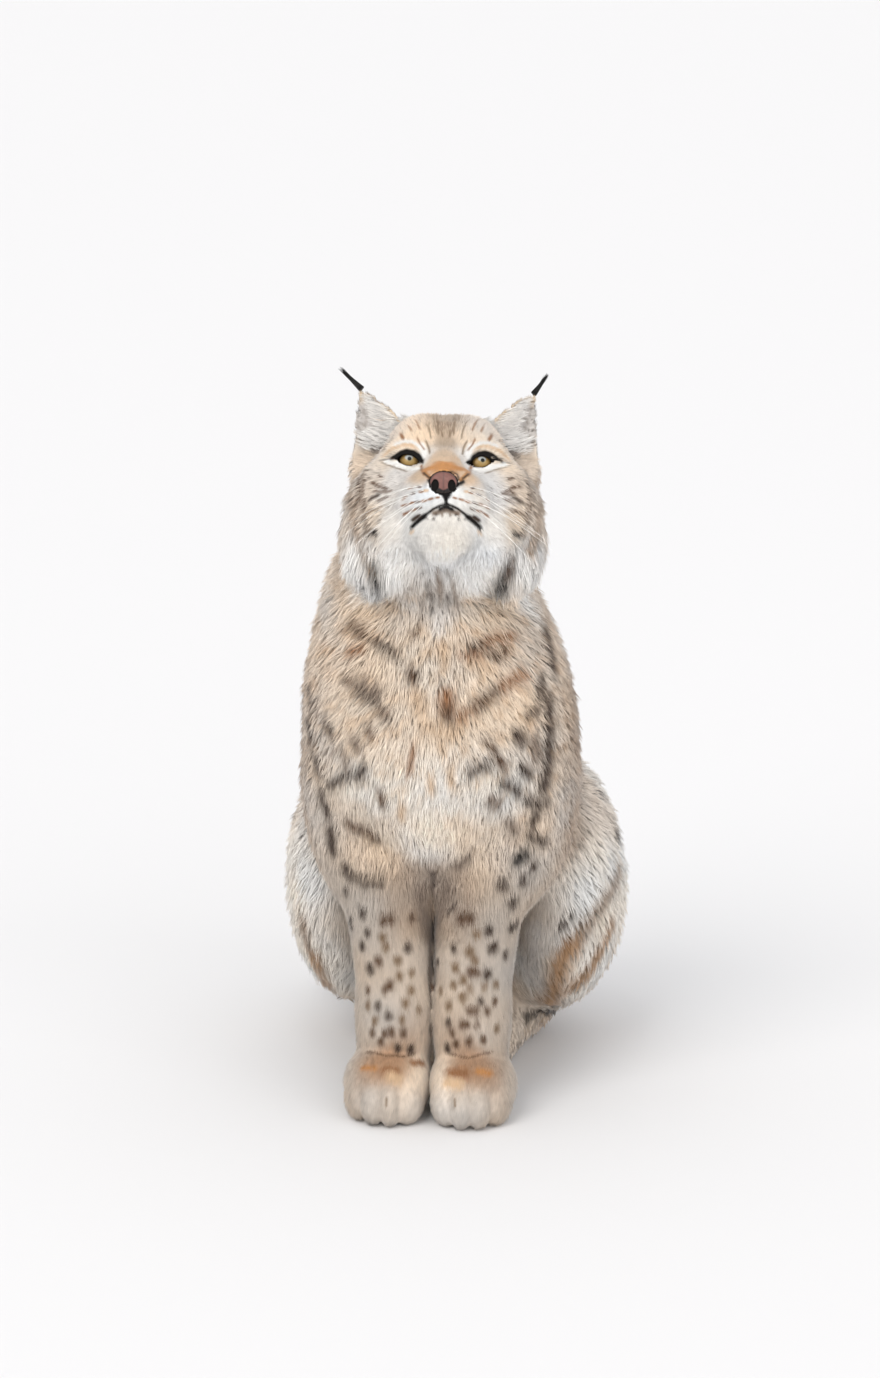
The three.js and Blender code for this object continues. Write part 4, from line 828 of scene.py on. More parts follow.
# Some strokes on the body are painted shade and shadow, and are named so below.
bodyMarks = {
    "ruffPale": (
        ("white", 11, (350, 566), (356, 588)), ("white", 12, (530, 580), (526, 598)),
        ("white", 13, (388, 566), (392, 586)), ("white", 15, (468, 574), (478, 592)),
    ),
    "ruffBandsAndShade": (
        ("black", 6.2, (371, 573), (375, 581), (377.4, 589), (379.6, 597)),
        ("taupe", 2.6, (358, 552), (365, 563), (371, 574)),
        ("black", 7.2, (509, 575), (503, 585), (499, 594), (496.6, 602)),
        ("brown", 3.2, (516, 560), (513, 568), (508, 577)),
        # Painted shade along the ruff's lower edge: grey under the left lobe, brown under the right.
        ("grey", 2.4, (381, 600), (392, 600), (404, 597), (414, 590)),
        ("brown", 2.6, (491, 609), (499, 612), (508, 614)),
    ),
    # The dark arcs and the dark and grey throat lines are painted shade where the ruff's lobes end.
    "throatArc": (
        ("dark", 1.6, (418.6, 579), (424, 573), (430, 570), (437, 568)),
        ("dark", 1.6, (445, 566.5), (447, 574), (452, 583)),
    ),
    "throatWedge": (("pale", 13, (444, 594), (443, 606), (441, 616)), ("pale", 7, (441, 616), (438, 632))),
    "throatLines": (
        ("grey", 2.4, (437, 570), (438, 584), (437, 594)), ("dark", 2.6, (428, 586), (427, 593)),
        ("dark", 3, (432, 596), (430.6, 618)), ("dark", 3, (448, 597), (448.8, 612)),
        ("grey", 3, (441, 584), (440, 612)), ("grey", 3, (424, 598), (420, 614)),
        ("grey", 3, (456, 600), (459, 614)), ("brown", 3, (420.4, 619), (417.4, 630), (411.6, 639)),
        ("grey", 1.8, (452, 584), (456, 600)),
    ),
    "neck": (
        ("brown", 6.3, (349, 625), (357, 631)), ("dark", 4.7, (378, 646), (386, 650), (394, 656)),
        ("rust", 4.2, (346, 653), (358, 650)), ("brown", 3.9, (357, 634), (372, 641)),
        ("dark", 5, (474, 649), (482, 645), (489, 642)), ("rust", 4.7, (489, 642), (502, 638), (517, 635)),
        ("rust", 4.2, (462, 656), (474, 657), (484, 654)),
        ("brown", 5, (492, 655), (500, 658), (508, 652)), ("tan", 6, (443, 648), (444, 662)),
        ("tan", 4.7, (484, 673), (496, 671)),
    ),
    "bib": (
        ("brown", 5, (343, 680), (352, 688)), ("dark", 5.5, (354, 691), (362, 698), (373, 703)),
        ("grey", 7.3, (362, 684), (374, 692)), ("brown", 6, (379, 713), (387, 718)),
        ("brown", 6, (410, 674), (413, 680)), ("tan", 8, (414, 698), (420, 708)),
        ("rust", 8.1, (447, 697), (447, 712)), ("brown", 6, (447, 712), (450, 722)),
        ("rust", 4.7, (462, 718), (470, 712), (478, 707)),
        ("brown", 6.3, (478, 707), (489, 700), (498, 692)),
        ("rust", 6.3, (507, 686), (516, 680), (525, 675)),
        ("tan", 7.3, (424, 726), (440, 732), (456, 736)),
    ),
    "breast": (
        ("rust", 3.4, (413, 750), (411, 762), (408, 775)), ("tan", 3.7, (431, 778), (430, 792)),
        ("tan", 3.9, (402, 808), (401, 820)), ("tan", 3.9, (441, 748), (444, 756)),
        ("brown", 4.2, (488, 745), (495, 750)), ("tan", 4.2, (450, 775), (452, 786)),
    ),
    "side": (
        ("dark", 6.5, (472, 773), (480, 769), (488, 768)), ("dark", 6, (504, 785), (512, 789), (519, 794)),
        ("brown", 6.3, (491, 802), (498, 807)), ("dark", 6, (528, 802), (538, 806), (548, 804)),
        ("dark", 5.5, (532, 838), (539, 841), (545, 843)), ("black", 7.3, (519, 862), (525, 856)),
        ("dark", 6.8, (519, 736), (523, 743)), ("dark", 5.5, (530, 717), (538, 712)),
        ("grey", 6, (457, 868), (466, 861)), ("dark", 5.5, (533, 824), (538, 817)),
        ("dark", 6.8, (549, 630), (553, 650), (556, 672)), ("dark", 6, (544, 680), (541, 697)),
        ("dark", 6.8, (551, 700), (553, 726), (551, 752)),
        ("dark", 7.3, (552, 758), (549, 776), (546, 790)), ("brown", 5.2, (498, 760), (505, 768)),
        ("grey", 6, (509, 825), (516, 832)), ("dark", 5.5, (524, 770), (532, 778)),
        ("grey", 6.5, (536, 742), (540, 760)),
    ),
    "arm": (
        ("dark", 6, (357, 778), (362, 770)), ("dark", 5, (326, 788), (338, 781), (350, 776)),
        ("grey", 5.7, (351, 741), (357, 750)), ("brown", 5, (366, 730), (368, 738)),
        ("brown", 6.3, (349, 826), (361, 832), (376, 840)),
        ("dark", 5.2, (344, 868), (351, 876), (362, 881), (378, 881)),
        ("dark", 6.5, (329, 832), (331, 852)), ("dark", 6, (319, 795), (323, 806), (326, 816)),
        ("dark", 5.5, (324, 724), (329, 735)), ("dark", 5.7, (312, 760), (316, 775)),
        ("grey", 5.2, (340, 756), (345, 765)), ("dark", 5.5, (307, 690), (309, 706)),
        ("dark", 6, (305, 722), (308, 742)), ("brown", 4.7, (379, 793), (382, 806)),
    ),
    "haunch": (("dark", 4, (560, 930), (575, 918)), ("brown", 4, (572, 948), (580, 935))),
    # Painted shade where the forelegs meet under the breast: a dark line, with grey shade beside it.
    "creaseShade": (
        ("dark", 2.4, (432, 871), (431.5, 890), (431.5, 940)),
        ("dark", 1, (431, 940), (430, 985), (431, 1030), (432, 1052)),
        ("grey", 7.5, (421, 892), (425, 910), (428, 935)),
        ("grey", 7.5, (444, 888), (439, 905), (434, 930)), ("grey", 4, (431, 940), (431, 980)),
        ("dark", 2.4, (447, 912), (455, 902)),
    ),
    # Painted shade: thin brown lines where the legs' fur overhangs the tops of the paws.
    "cuffShadows": (
        ("brown", 1.2, (364.5, 1050.6), (385.7, 1054.2), (404.6, 1055.3), (415.2, 1053)),
        ("brown", 1.2, (434, 1056.5), (453, 1054.2), (468.3, 1056.5), (493, 1051.8)),
    ),
    # Orange, rust and buff patches of the paws' own fur; the thin taupe lines are painted shade between the
    # toes.
    "paws": (
        ("orange", 2.8, (362, 1067), (374, 1067)), ("rust", 4.4, (385, 1069), (396, 1070)),
        ("rust", 3.6, (414, 1062), (424, 1063)), ("buff", 5, (391, 1076), (398, 1079)),
        ("taupe", 1.2, (386, 1098), (386, 1106)), ("rust", 6, (450, 1072), (464, 1072)),
        ("orange", 3.6, (479, 1070), (490, 1072)), ("taupe", 1.2, (454, 1099), (454, 1106)),
        ("buff", 5, (447, 1082), (458, 1084)),
    ),
    # Fawn and brown bands of the haunches' coat, and a painted shadow beneath the right haunch.
    "haunchBandsAndShadow": (
        ("haze", 10, (621, 872), (612, 893), (598, 915), (583, 935), (572, 950)),
        ("fawn", 12, (572, 950), (562, 965), (555, 985), (550, 1004)),
        ("fawn", 11, (612, 930), (600, 955), (588, 975), (576, 990)),
        # Painted shadow: black under the right haunch where it meets the ground.
        ("black", 5, (530, 1020), (548, 1014), (566, 1010)),
        ("haze", 8, (302, 925), (308, 950), (322, 972)), ("fawn", 7, (312, 958), (326, 985), (340, 1000)),
        ("pale", 11, (534, 930), (532, 955), (531, 982)),
    ),
}
# Round spots on the forelegs: a pixel and the half width in millimetres.
legSpots = {
    "dark": (
        (344, 890, 4.5), (361, 911, 5.0), (349, 919, 4.1), (350, 926, 3.8), (366.5, 932, 4.1),
        (361, 946.5, 4.5), (369, 969, 5.0), (377, 1006, 4.1), (388, 1016, 4.1), (408.6, 947, 4.5),
        (502, 885, 6.2), (514, 902, 6.2), (489, 929, 5.0), (513, 927, 4.8), (519, 923, 4.1),
        (453, 947, 4.3), (494, 947.5, 6.2), (507, 955, 4.3), (488, 974.5, 4.8), (481, 1001, 3.6),
        (447, 1022, 3.8), (398, 1047.5, 3.8), (412, 1049, 4.5), (446, 1048, 4.5), (437, 962, 3.4),
        (535, 868, 5.0), (338, 905, 3.8), (524, 880, 5.0),
    ),
    "brown": (
        (389.5, 985.5, 4.8), (384, 990, 3.2), (378, 961.5, 5.0), (366.6, 990, 3.4), (471, 972, 4.8),
        (477, 973, 3.8), (391, 1032, 4.1), (384, 1034, 3.2), (404, 1033, 3.8), (371, 1033, 3.6),
        (470, 1010, 4.1), (476, 1009, 3.6), (462, 1025, 4.1), (467, 1025, 3.4), (477, 1025, 3.6),
        (451, 1032, 3.6), (469, 1042, 3.8), (496, 1001, 3.6), (488, 1011, 3.8), (380, 1042, 3.6),
        (455, 1044, 3.6), (431.8, 985, 3.2), (461, 918, 5.5), (469, 917, 5.5), (383, 919, 4.8),
        (391, 918, 4.8), (413, 917, 3.8), (484, 1040, 3.4),
    ),
    "taupe": (
        (382, 937, 4.1), (385.5, 947, 4.3), (398, 961, 4.8), (399.6, 977, 4.1), (412, 990, 4.1),
        (366.6, 1005, 3.8), (406, 1003, 4.3), (402, 1020, 3.4), (476.5, 933, 4.3), (469.5, 951, 5.0),
        (455, 967, 4.8), (474.6, 960, 4.1), (463, 979.6, 4.3), (453, 985, 4.3), (497, 985, 3.8),
        (462, 997.5, 4.8), (448, 1004.6, 4.3), (498, 1029, 3.8), (374, 1021, 3.8), (412, 972, 3.6),
        (420, 1010, 3.4), (440, 990, 3.4), (470, 989, 3.6), (485, 988, 3.6),
    ),
}
# Spots where the photograph can't show them, scattered over the flanks, haunches and back: the heights in
# millimetres and the turn from the front in degrees that they start at, their half widths and lengths.
hiddenSpots = {"count": 140, "low": 50, "high": 520, "from": 80, "tone": "dark", "wide": (3.6, 6.0),
               "long": (5, 15), "seed": 5}


# A soft pattern of a given grain, from -1 to 1.
def mottle(p, grain, seed):
    rng = np.random.default_rng(seed)
    total = np.zeros(len(p), np.float32)
    for _ in range(9):
        way = unit(rng.normal(size=3).astype(np.float32)) * rng.uniform(0.6, 1.5)
        total += np.sin(p @ (way * (2 * math.pi / grain)) + rng.uniform(0, 2 * math.pi))
    return np.clip(total / 4.5, -1, 1)


# How far back the middle of the trunk lies at each height.
def trunkAxis(z):
    return np.interp(z, [50, 118, 250, 350, 500, 560], [235, 240, 190, 118, 60, 60])


def scatteredSpots():
    rng = np.random.default_rng(hiddenSpots["seed"])
    n = hiddenSpots["count"]
    z = rng.uniform(hiddenSpots["low"], hiddenSpots["high"], n).astype(np.float32)
    turn = np.radians(rng.uniform(hiddenSpots["from"], 360 - hiddenSpots["from"], n)).astype(np.float32)
    out = np.stack([np.sin(turn), -np.cos(turn), 0 * turn], 1)
    core = np.stack([0 * z, trunkAxis(z), z], 1).astype(np.float32)
    far = np.full(n, 260, np.float32)
    for _ in range(30):
        far -= 0.8 * coatField(core + out * far[:, None])
    middle = core + out * far[:, None]
    lie = combAt(middle, [3, 4, 5])[0]
    half = lie * rng.uniform(*hiddenSpots["long"], (n, 1)).astype(np.float32) / 2
    wide = rng.uniform(*hiddenSpots["wide"], n)
    ends = np.stack([middle - half, middle + half], 1)
    return [(hiddenSpots["tone"], wide[i], ends[i], rough["body"]) for i in range(n)]


def mirrored(pixels):
    return [(2 * faceMiddle - x, y + 2 * faceRoll * (faceMiddle - x)) for x, y in pixels]


# The strokes carried onto the coat. The last number is how ragged a mark's edge is: 0 on the short face.
rough = {"face": 0, "body": 1, "leg": 0.6}
spotStretch = 1.2  # a leg spot is this many pixels longer each way than it is wide


def placedMarks():
    strokes = []
    for tone, wide, *pixels in itertools.chain(*faceMarks.values()):
        strokes += [(tone, wide, each, rough["face"]) for each in (pixels, mirrored(pixels))]
    for tone, wide, *pixels in itertools.chain(*bodyMarks.values()):
        strokes.append((tone, wide, pixels, rough["body"]))
    for tone, spots in legSpots.items():
        strokes += [(tone, wide, ((x, y - spotStretch), (x, y + spotStretch)), rough["leg"])
                    for x, y, wide in spots]
    everyPixel = np.array([xy for _, _, pixels, _ in strokes for xy in pixels], np.float32)
    places = onCoat(everyPixel)
    made, start = [], 0
    for tone, wide, pixels, ragged in strokes:
        made.append((tone, wide, places[start:start + len(pixels)], ragged))
        start += len(pixels)
    made += scatteredSpots()
    middles = np.array([m[2].mean(0) for m in made], np.float32)
    faces = unit(slopeOf(coatField, middles))
    return [(linear(tones[tone]), wide, line, face, ragged)
            for (tone, wide, line, ragged), face in zip(made, faces)]


# How near each point is to a stroke, counted mostly across the coat and little through its depth.
def nearStroke(p, line, face):
    best = np.full(len(p), 1e6, np.float32)
    for a, b in zip(line[:-1], line[1:]):
        along = b - a
        h = np.clip(((p - a) @ along) / max(float(along @ along), 1e-6), 0, 1)
        d = p - a - h[:, None] * along
        best = np.minimum(best, (d * d).sum(1) - 0.8 * (d @ face) ** 2)
    return np.sqrt(np.maximum(best, 0))


marks = placedMarks()

# The ear's cup is pale with dark streaks and a cream rim; its back is dark with a pale patch.
earTones = {
    # deep is painted shade low in the ear's cup.
    "inside": "#d2ccc7", "streak": "#a89f97", "deep": "#6d6158", "innerRim": "#dcc6aa", "outerRim": "#d8ccbe",
    "back": "#7b6d61", "backPatch": "#c9c0b4", "foot": "#dccab6", "tip": "#241d19",
}


def earColour(p, base):
    near = np.nonzero((p[:, 2] > 640) & (p[:, 1] < 170))[0]
    if not len(near):
        return base
    t, u, half, front, _, _, _ = earPlace(folded(toHead(p[near]), 0))
    share = np.clip((t + 0.1) / 0.14, 0, 1) * np.clip((1.5 - np.abs(u)) / 0.25, 0, 1)
    share *= np.clip((15 - np.abs(front)) / 5, 0, 1)
    tone = {name: linear(code) for name, code in earTones.items()}

    def over(lower, upper, amount):
        return lower + (upper - lower) * np.clip(amount, 0, 1)[:, None]

    streaks = mottle(p[near] * triple((1, 1, 0.35)), 6.5, 31)
    cup = over(np.tile(tone["inside"], (len(near), 1)), tone["streak"],
               0.7 * (streaks - 0.1) + 0.25 * (u > 0.1) * (u < 0.75))
    # Painted shade deep in the cup, darker towards its foot.
    cup = over(cup, tone["deep"], (0.34 - t) * 2.6 * np.clip((0.95 - np.abs(u)) * 4, 0, 1))
    cup = over(cup, tone["innerRim"], (-u - 0.62) * 5)
    cup = over(cup, tone["innerRim"], (t - 0.74) * 6)
    cup = over(cup, tone["outerRim"], (u - 0.5 - 0.45 * np.clip(t, 0, 0.8)) * 5)
    back = over(np.tile(tone["back"], (len(near), 1)), tone["backPatch"],
                1.6 - 3 * np.abs(u) - 4 * np.clip(t - 0.5, 0, 1))
    whole = over(back, cup, front / 4 + 0.6)
    whole = over(whole, tone["foot"], (0.2 - t) * 5 * (u > 0.3))
    whole = over(whole, tone["tip"], (t - 0.925) * 24)
    base[near] = base[near] * (1 - share[:, None]) + whole * share[:, None]
    return base


# Patterns in the coat: how strong, the grain in millimetres, its squeeze along each axis, and the seed.
patterns = {
    "tipPatches": (0.45, 46, (1, 1, 1), 3), "tipFlecks": (0.7, 6, (1.3, 1, 0.6), 9),
    "warm": (0.07, 70, (1, 1, 1), 4), "streaks": (0.08, 6, (1, 1, 0.45), 7),
    "clumps": (1, 24, (1, 1, 1.5), 8), "broken": (1, 7.5, (1, 1, 0.6), 6),
}
warmTint, clumpTint = triple((1, 0.2, -0.8)), triple((0.1, 0.2, 0.3))


def pattern(name, p):
    strength, grain, squeeze, seed = patterns[name]
    return strength * mottle(p * triple(squeeze), grain, seed)


# The coat's colour at points of its outer face, with every marking. Hairs pass their own noise, and skin
# passes none. The warm clumps are on the neck and breast alone.
def coatColour(p, noise):
    mixed, _ = combAt(p, [8, 9, 10, 11])
    tips = mixed[:, 3:] * (0.55 + pattern("tipPatches", p) + pattern("tipFlecks", p))[:, None]
    base = mixed[:, :3] * (1 + pattern("warm", p)[:, None] * warmTint)
    base = base * (1 + pattern("streaks", p))[:, None]
    clumps = np.clip(pattern("clumps", p), 0, 1)[:, None]
    clumps *= np.clip((p[:, 2:] - 250) / 120, 0, 1) * np.clip((600 - p[:, 2:]) / 60, 0, 1)
    base = base * (1 - clumps * clumpTint)
    speck = np.clip((tips - noise[:, None]) * 4, 0, 1) * 0.6
    base = base * (1 - speck) + linear(tones["speck"]) * speck
    base = earColour(p, base)
    broken = pattern("broken", p)
    for tone, wide, line, face, ragged in marks:
        middle = line.mean(0)
        reach = float(length(line - middle).max()) + wide * 2.6 + 4
        near = np.nonzero(((p - middle) ** 2).sum(1) < reach * reach)[0]
        if not len(near):
            continue
        soft = (0.3 + 0.35 * ragged) * wide + 0.4
        d = nearStroke(p[near], line, face) + 0.35 * ragged * wide * broken[near]
        cover = np.clip((wide + soft - d) / (2 * soft), 0, 1)
        cover *= np.clip(1.1 + ragged * (0.25 - 0.5 * noise[near] + 0.2 * broken[near]), 0, 1)
        base[near] = base[near] * (1 - cover[:, None]) + tone * cover[:, None]
    return base


noseRing = {"at": (0, -60, -48.7), "bare": (13.6, 12, 12), "black": (14.6, 13, 12)}
bareMarks = ("philtrum", "lips", "upperLid")


# Bare skin: the lid margins, the nose, the skin below it and the line of the lips carry no hair.
def bareness(p):
    side = folded(toHead(p), 0)
    lidGap = np.clip((lidRim(side) - 0.3) / 1.1, 0, 1)
    fromNose = eggField(toHead(p), noseRing["at"], noseRing["bare"])
    keep = np.minimum(lidGap, np.clip(fromNose / 1.5, 0, 1))
    for _, wide, *pixels in itertools.chain(*(faceMarks[name] for name in bareMarks)):
        for line in (onCoat(pixels), onCoat(mirrored(pixels))):
            near = length(p - line.mean(0)) < 40
            d = nearStroke(p[near], line, viewBack)
            keep[near] = np.minimum(keep[near], np.clip((d - wide * 0.6) / 1.0, 0, 1))
    return keep


# One function makes a node: its settings, then its inputs as values or links. An input is a name or a number.
def addNode(tree, kind, settings=None, inputs=None):
    made = tree.nodes.new(kind)
    for name, value in (settings or {}).items():
        setattr(made, name, value)
    for name, value in (inputs or {}).items():
        if isinstance(value, bpy.types.NodeSocket):
            tree.links.new(value, made.inputs[name])
        else:
            made.inputs[name].default_value = value
    return made


def newMaterial(name):
    made = bpy.data.materials.new(name)
    made.use_nodes = True
    made.node_tree.nodes.clear()
    return made, made.node_tree


# Every finish takes the colour that is painted on the piece. Relief is a fine pattern of bumps: its texture,
# the texture's settings and its output for the height, how strong it is, how deep in metres, and whether it
# is turned inside out.
def paintedMaterial(name, finish, relief=None):
    made, tree = newMaterial(name)
    paint = addNode(tree, "ShaderNodeAttribute", {"attribute_name": "coatColour"})
    finish = {"Base Color": paint.outputs["Color"], **finish}
    if relief:
        texture, settings, height, strength, deep, inverted = relief
        where = addNode(tree, "ShaderNodeTexCoord")
        bumps = addNode(tree, texture, None, {"Vector": where.outputs["Object"], **settings})
        bump = addNode(tree, "ShaderNodeBump", {"invert": inverted}, {
            "Height": bumps.outputs[height], "Strength": strength, "Distance": deep})
        finish["Normal"] = bump.outputs["Normal"]
    surface = addNode(tree, "ShaderNodeBsdfPrincipled", None, finish)
    addNode(tree, "ShaderNodeOutputMaterial", None, {"Surface": surface.outputs["BSDF"]})
    return made


# Winter guard hair: dull, barely glossy, and soft at grazing angles. The colour is painted on each hair.
def hairMaterial(name, roughness, sheen):
    return paintedMaterial(name, {"Roughness": roughness, "IOR": 1.55, "Specular IOR Level": 0.25,
                                  "Sheen Weight": sheen, "Sheen Roughness": 0.5})


# Hide under the coat: matt, with the fine streaks of close-lying underfur about 0.8 mm apart.
def hideMaterial():
    return paintedMaterial("hide with underfur", {"Roughness": 0.75, "IOR": 1.4, "Specular IOR Level": 0.2}, (
        "ShaderNodeTexNoise", {"Scale": 1250.0, "Detail": 3.0, "Roughness": 0.6}, "Fac", 0.5, 0.0005, False))


# Nose leather: moist skin in fine cobbles about 0.7 mm across, so it shines softly and unevenly.
def leatherMaterial():
    return paintedMaterial("moist nose leather", {"Roughness": 0.38, "IOR": 1.4}, (
        "ShaderNodeTexVoronoi", {"Scale": 1400.0}, "Distance", 0.45, 0.0003, True))


# A wet eye: the clear coat stands for the cornea's film and gives the sharp bright reflections.
def eyeMaterial():
    return paintedMaterial("wet eye", {"Roughness": 0.35, "IOR": 1.376, "Specular IOR Level": 0.15,
                                       "Coat Weight": 0.3, "Coat Roughness": 0.02, "Coat IOR": 1.376})


def paint(mesh, colours):
    layer = mesh.color_attributes.new("coatColour", "FLOAT_COLOR", "POINT")
    rgba = np.ones((len(mesh.vertices), 4), np.float32)
    rgba[:, :3] = np.clip(colours, 0, 1)
    layer.data.foreach_set("color", rgba.ravel())
    mesh.color_attributes.active_color = layer


def writeValues(mesh, name, kind, values):
    layer = mesh.attributes.new(name, kind, "POINT")
    field = "vector" if kind == "FLOAT_VECTOR" else "value"
    layer.data.foreach_set(field, np.ascontiguousarray(values, np.float32).ravel())


def readValues(mesh, name, width):
    layer = mesh.attributes[name]
    values = np.zeros(len(layer.data) * width, np.float32)
    layer.data.foreach_get("vector" if width > 1 else "value", values)
    return values.reshape(-1, width) if width > 1 else values


def give(made, material, slot, *nodes):
    made.data.materials.clear()
    made.data.materials.append(material)
    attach(made, "root")
    if nodes:
        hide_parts(*nodes)


# The coats. Locks is how many stand on a coat, hairs how many are in a lock, wide a hair's width in
# millimetres, spread the lock's half width at its root, bend how many degrees a hair curls back to the skin,
# stray how far the locks wander from the lie, and pale the share of white in the hair.
coatLooks = {
    "coatFace": dict(locks=56000, hairs=1, wide=0.6, spread=0, bend=0, stray=0.15, slot="face_coat"),
    "coatCheeks": dict(locks=5600, hairs=4, wide=0.7, spread=2.0, bend=20, stray=0.14, slot="face_coat"),
    "coatRuff": dict(locks=5200, hairs=5, wide=0.95, spread=3.0, bend=32, stray=0.15, slot="body_coat"),
    "coatNeck": dict(locks=6500, hairs=5, wide=0.9, spread=3.2, bend=32, stray=0.17, slot="body_coat"),
    "coatChest": dict(locks=6500, hairs=5, wide=0.9, spread=3.2, bend=32, stray=0.15, slot="body_coat"),
    "coatFlanks": dict(locks=4700, hairs=5, wide=0.9, spread=3.0, bend=30, stray=0.15, slot="body_coat"),
    "coatBack": dict(locks=4300, hairs=5, wide=1.1, spread=3.4, bend=30, stray=0.14, slot="body_coat"),
    "coatHaunches": dict(locks=6800, hairs=5, wide=0.95, spread=3.2, bend=32, stray=0.17, slot="body_coat"),
    "coatForelegs": dict(locks=52000, hairs=1, wide=0.8, spread=0, bend=0, stray=0.13, slot="leg_coat"),
    "coatPaws": dict(locks=17000, hairs=1, wide=0.75, spread=0, bend=0, stray=0.16, slot="leg_coat"),
    "coatHindFeet": dict(locks=2500, hairs=3, wide=0.9, spread=1.8, bend=14, stray=0.14, slot="leg_coat"),
    "coatTail": dict(locks=1500, hairs=5, wide=1.15, spread=3.0, bend=26, stray=0.16, slot="tail_coat"),
    "coatEars": dict(locks=12000, hairs=1, wide=0.55, spread=0, bend=0, stray=0.16, slot="ear_coat"),
    "coatEarFringe": dict(locks=900, hairs=4, wide=0.55, spread=2.0, bend=-18, stray=0.2, pale=0.7,
                          slot="ear_coat"),
}
# Hairs are painted darker at the root: partly greyer underfur, partly painted shade deep in the coat.
shades = {"root": 0.88, "middle": 0.97, "tip": 1.03, "lock": 0.09, "hair": 0.04, "soft": 0.84}
thickest = 0.42  # where along a spindle it is thickest
prototypeCount = 4
packing = 0.70  # how much nearer locks may stand than their even spacing, as a share of area
patchTurn, patchMargin = 66, 0.002
onGround = 0.0004
thirdTurn = 2.0944


# A lock of unit length along +Z that bends towards -Y. Each hair is a closed spindle, or a plain spike if
# it stands alone.
def lockMesh(name, look, typical, seed):
    rng = np.random.default_rng(seed)
    bend = math.radians(look["bend"])
    points, faces, along, strand = [], [], [], []
    for hair in range(look["hairs"]):
        turn, far = rng.uniform(0, 2 * math.pi), math.sqrt(rng.uniform(0, 1)) * look["spread"] / typical
        root = np.array([math.cos(turn), math.sin(turn), 0]) * far
        tip = root * 0.4 + np.array([*rng.normal(0, 0.025 * (look["hairs"] > 1), 2), 0])
        long = rng.uniform(0.82, 1.0) if look["hairs"] > 1 else 1.0
        radius = look["wide"] / typical / 2
        roll = rng.uniform(0, 2 * math.pi)

        def onPath(t):
            part = t * long
            curve = np.array([0, 0, part])
            if bend:
                curve = np.array([0, -(1 - math.cos(bend * part)) / bend, math.sin(bend * part) / bend])
            return root * (1 - t) + tip * t + curve

        ringAt = thickest if look["hairs"] > 1 else 0.0
        turns = [roll + k * thirdTurn for k in range(3)]
        ring = [onPath(ringAt) + radius * np.array([math.cos(a), math.sin(a), 0]) for a in turns]
        base = len(points)
        if look["hairs"] > 1:
            points += [onPath(0), *ring, onPath(1)]
            faces += [(base, base + 1 + (k + 1) % 3, base + 1 + k) for k in range(3)]
            faces += [(base + 1 + k, base + 1 + (k + 1) % 3, base + 4) for k in range(3)]
            along += [0, ringAt, ringAt, ringAt, 1]
            strand += [rng.uniform(0, 1)] * 5
        else:
            points += [*ring, onPath(1)]
            faces += [(base, base + 2, base + 1)]
            faces += [(base + k, base + (k + 1) % 3, base + 3) for k in range(3)]
            along += [0, 0, 0, 1]
            strand += [rng.uniform(0, 1)] * 4
    mesh = meshFrom(name, np.array(points, np.float32) * 1000, np.array(faces), 0)
    writeValues(mesh, "along", "FLOAT", along)
    writeValues(mesh, "strand", "FLOAT", strand)
    return mesh


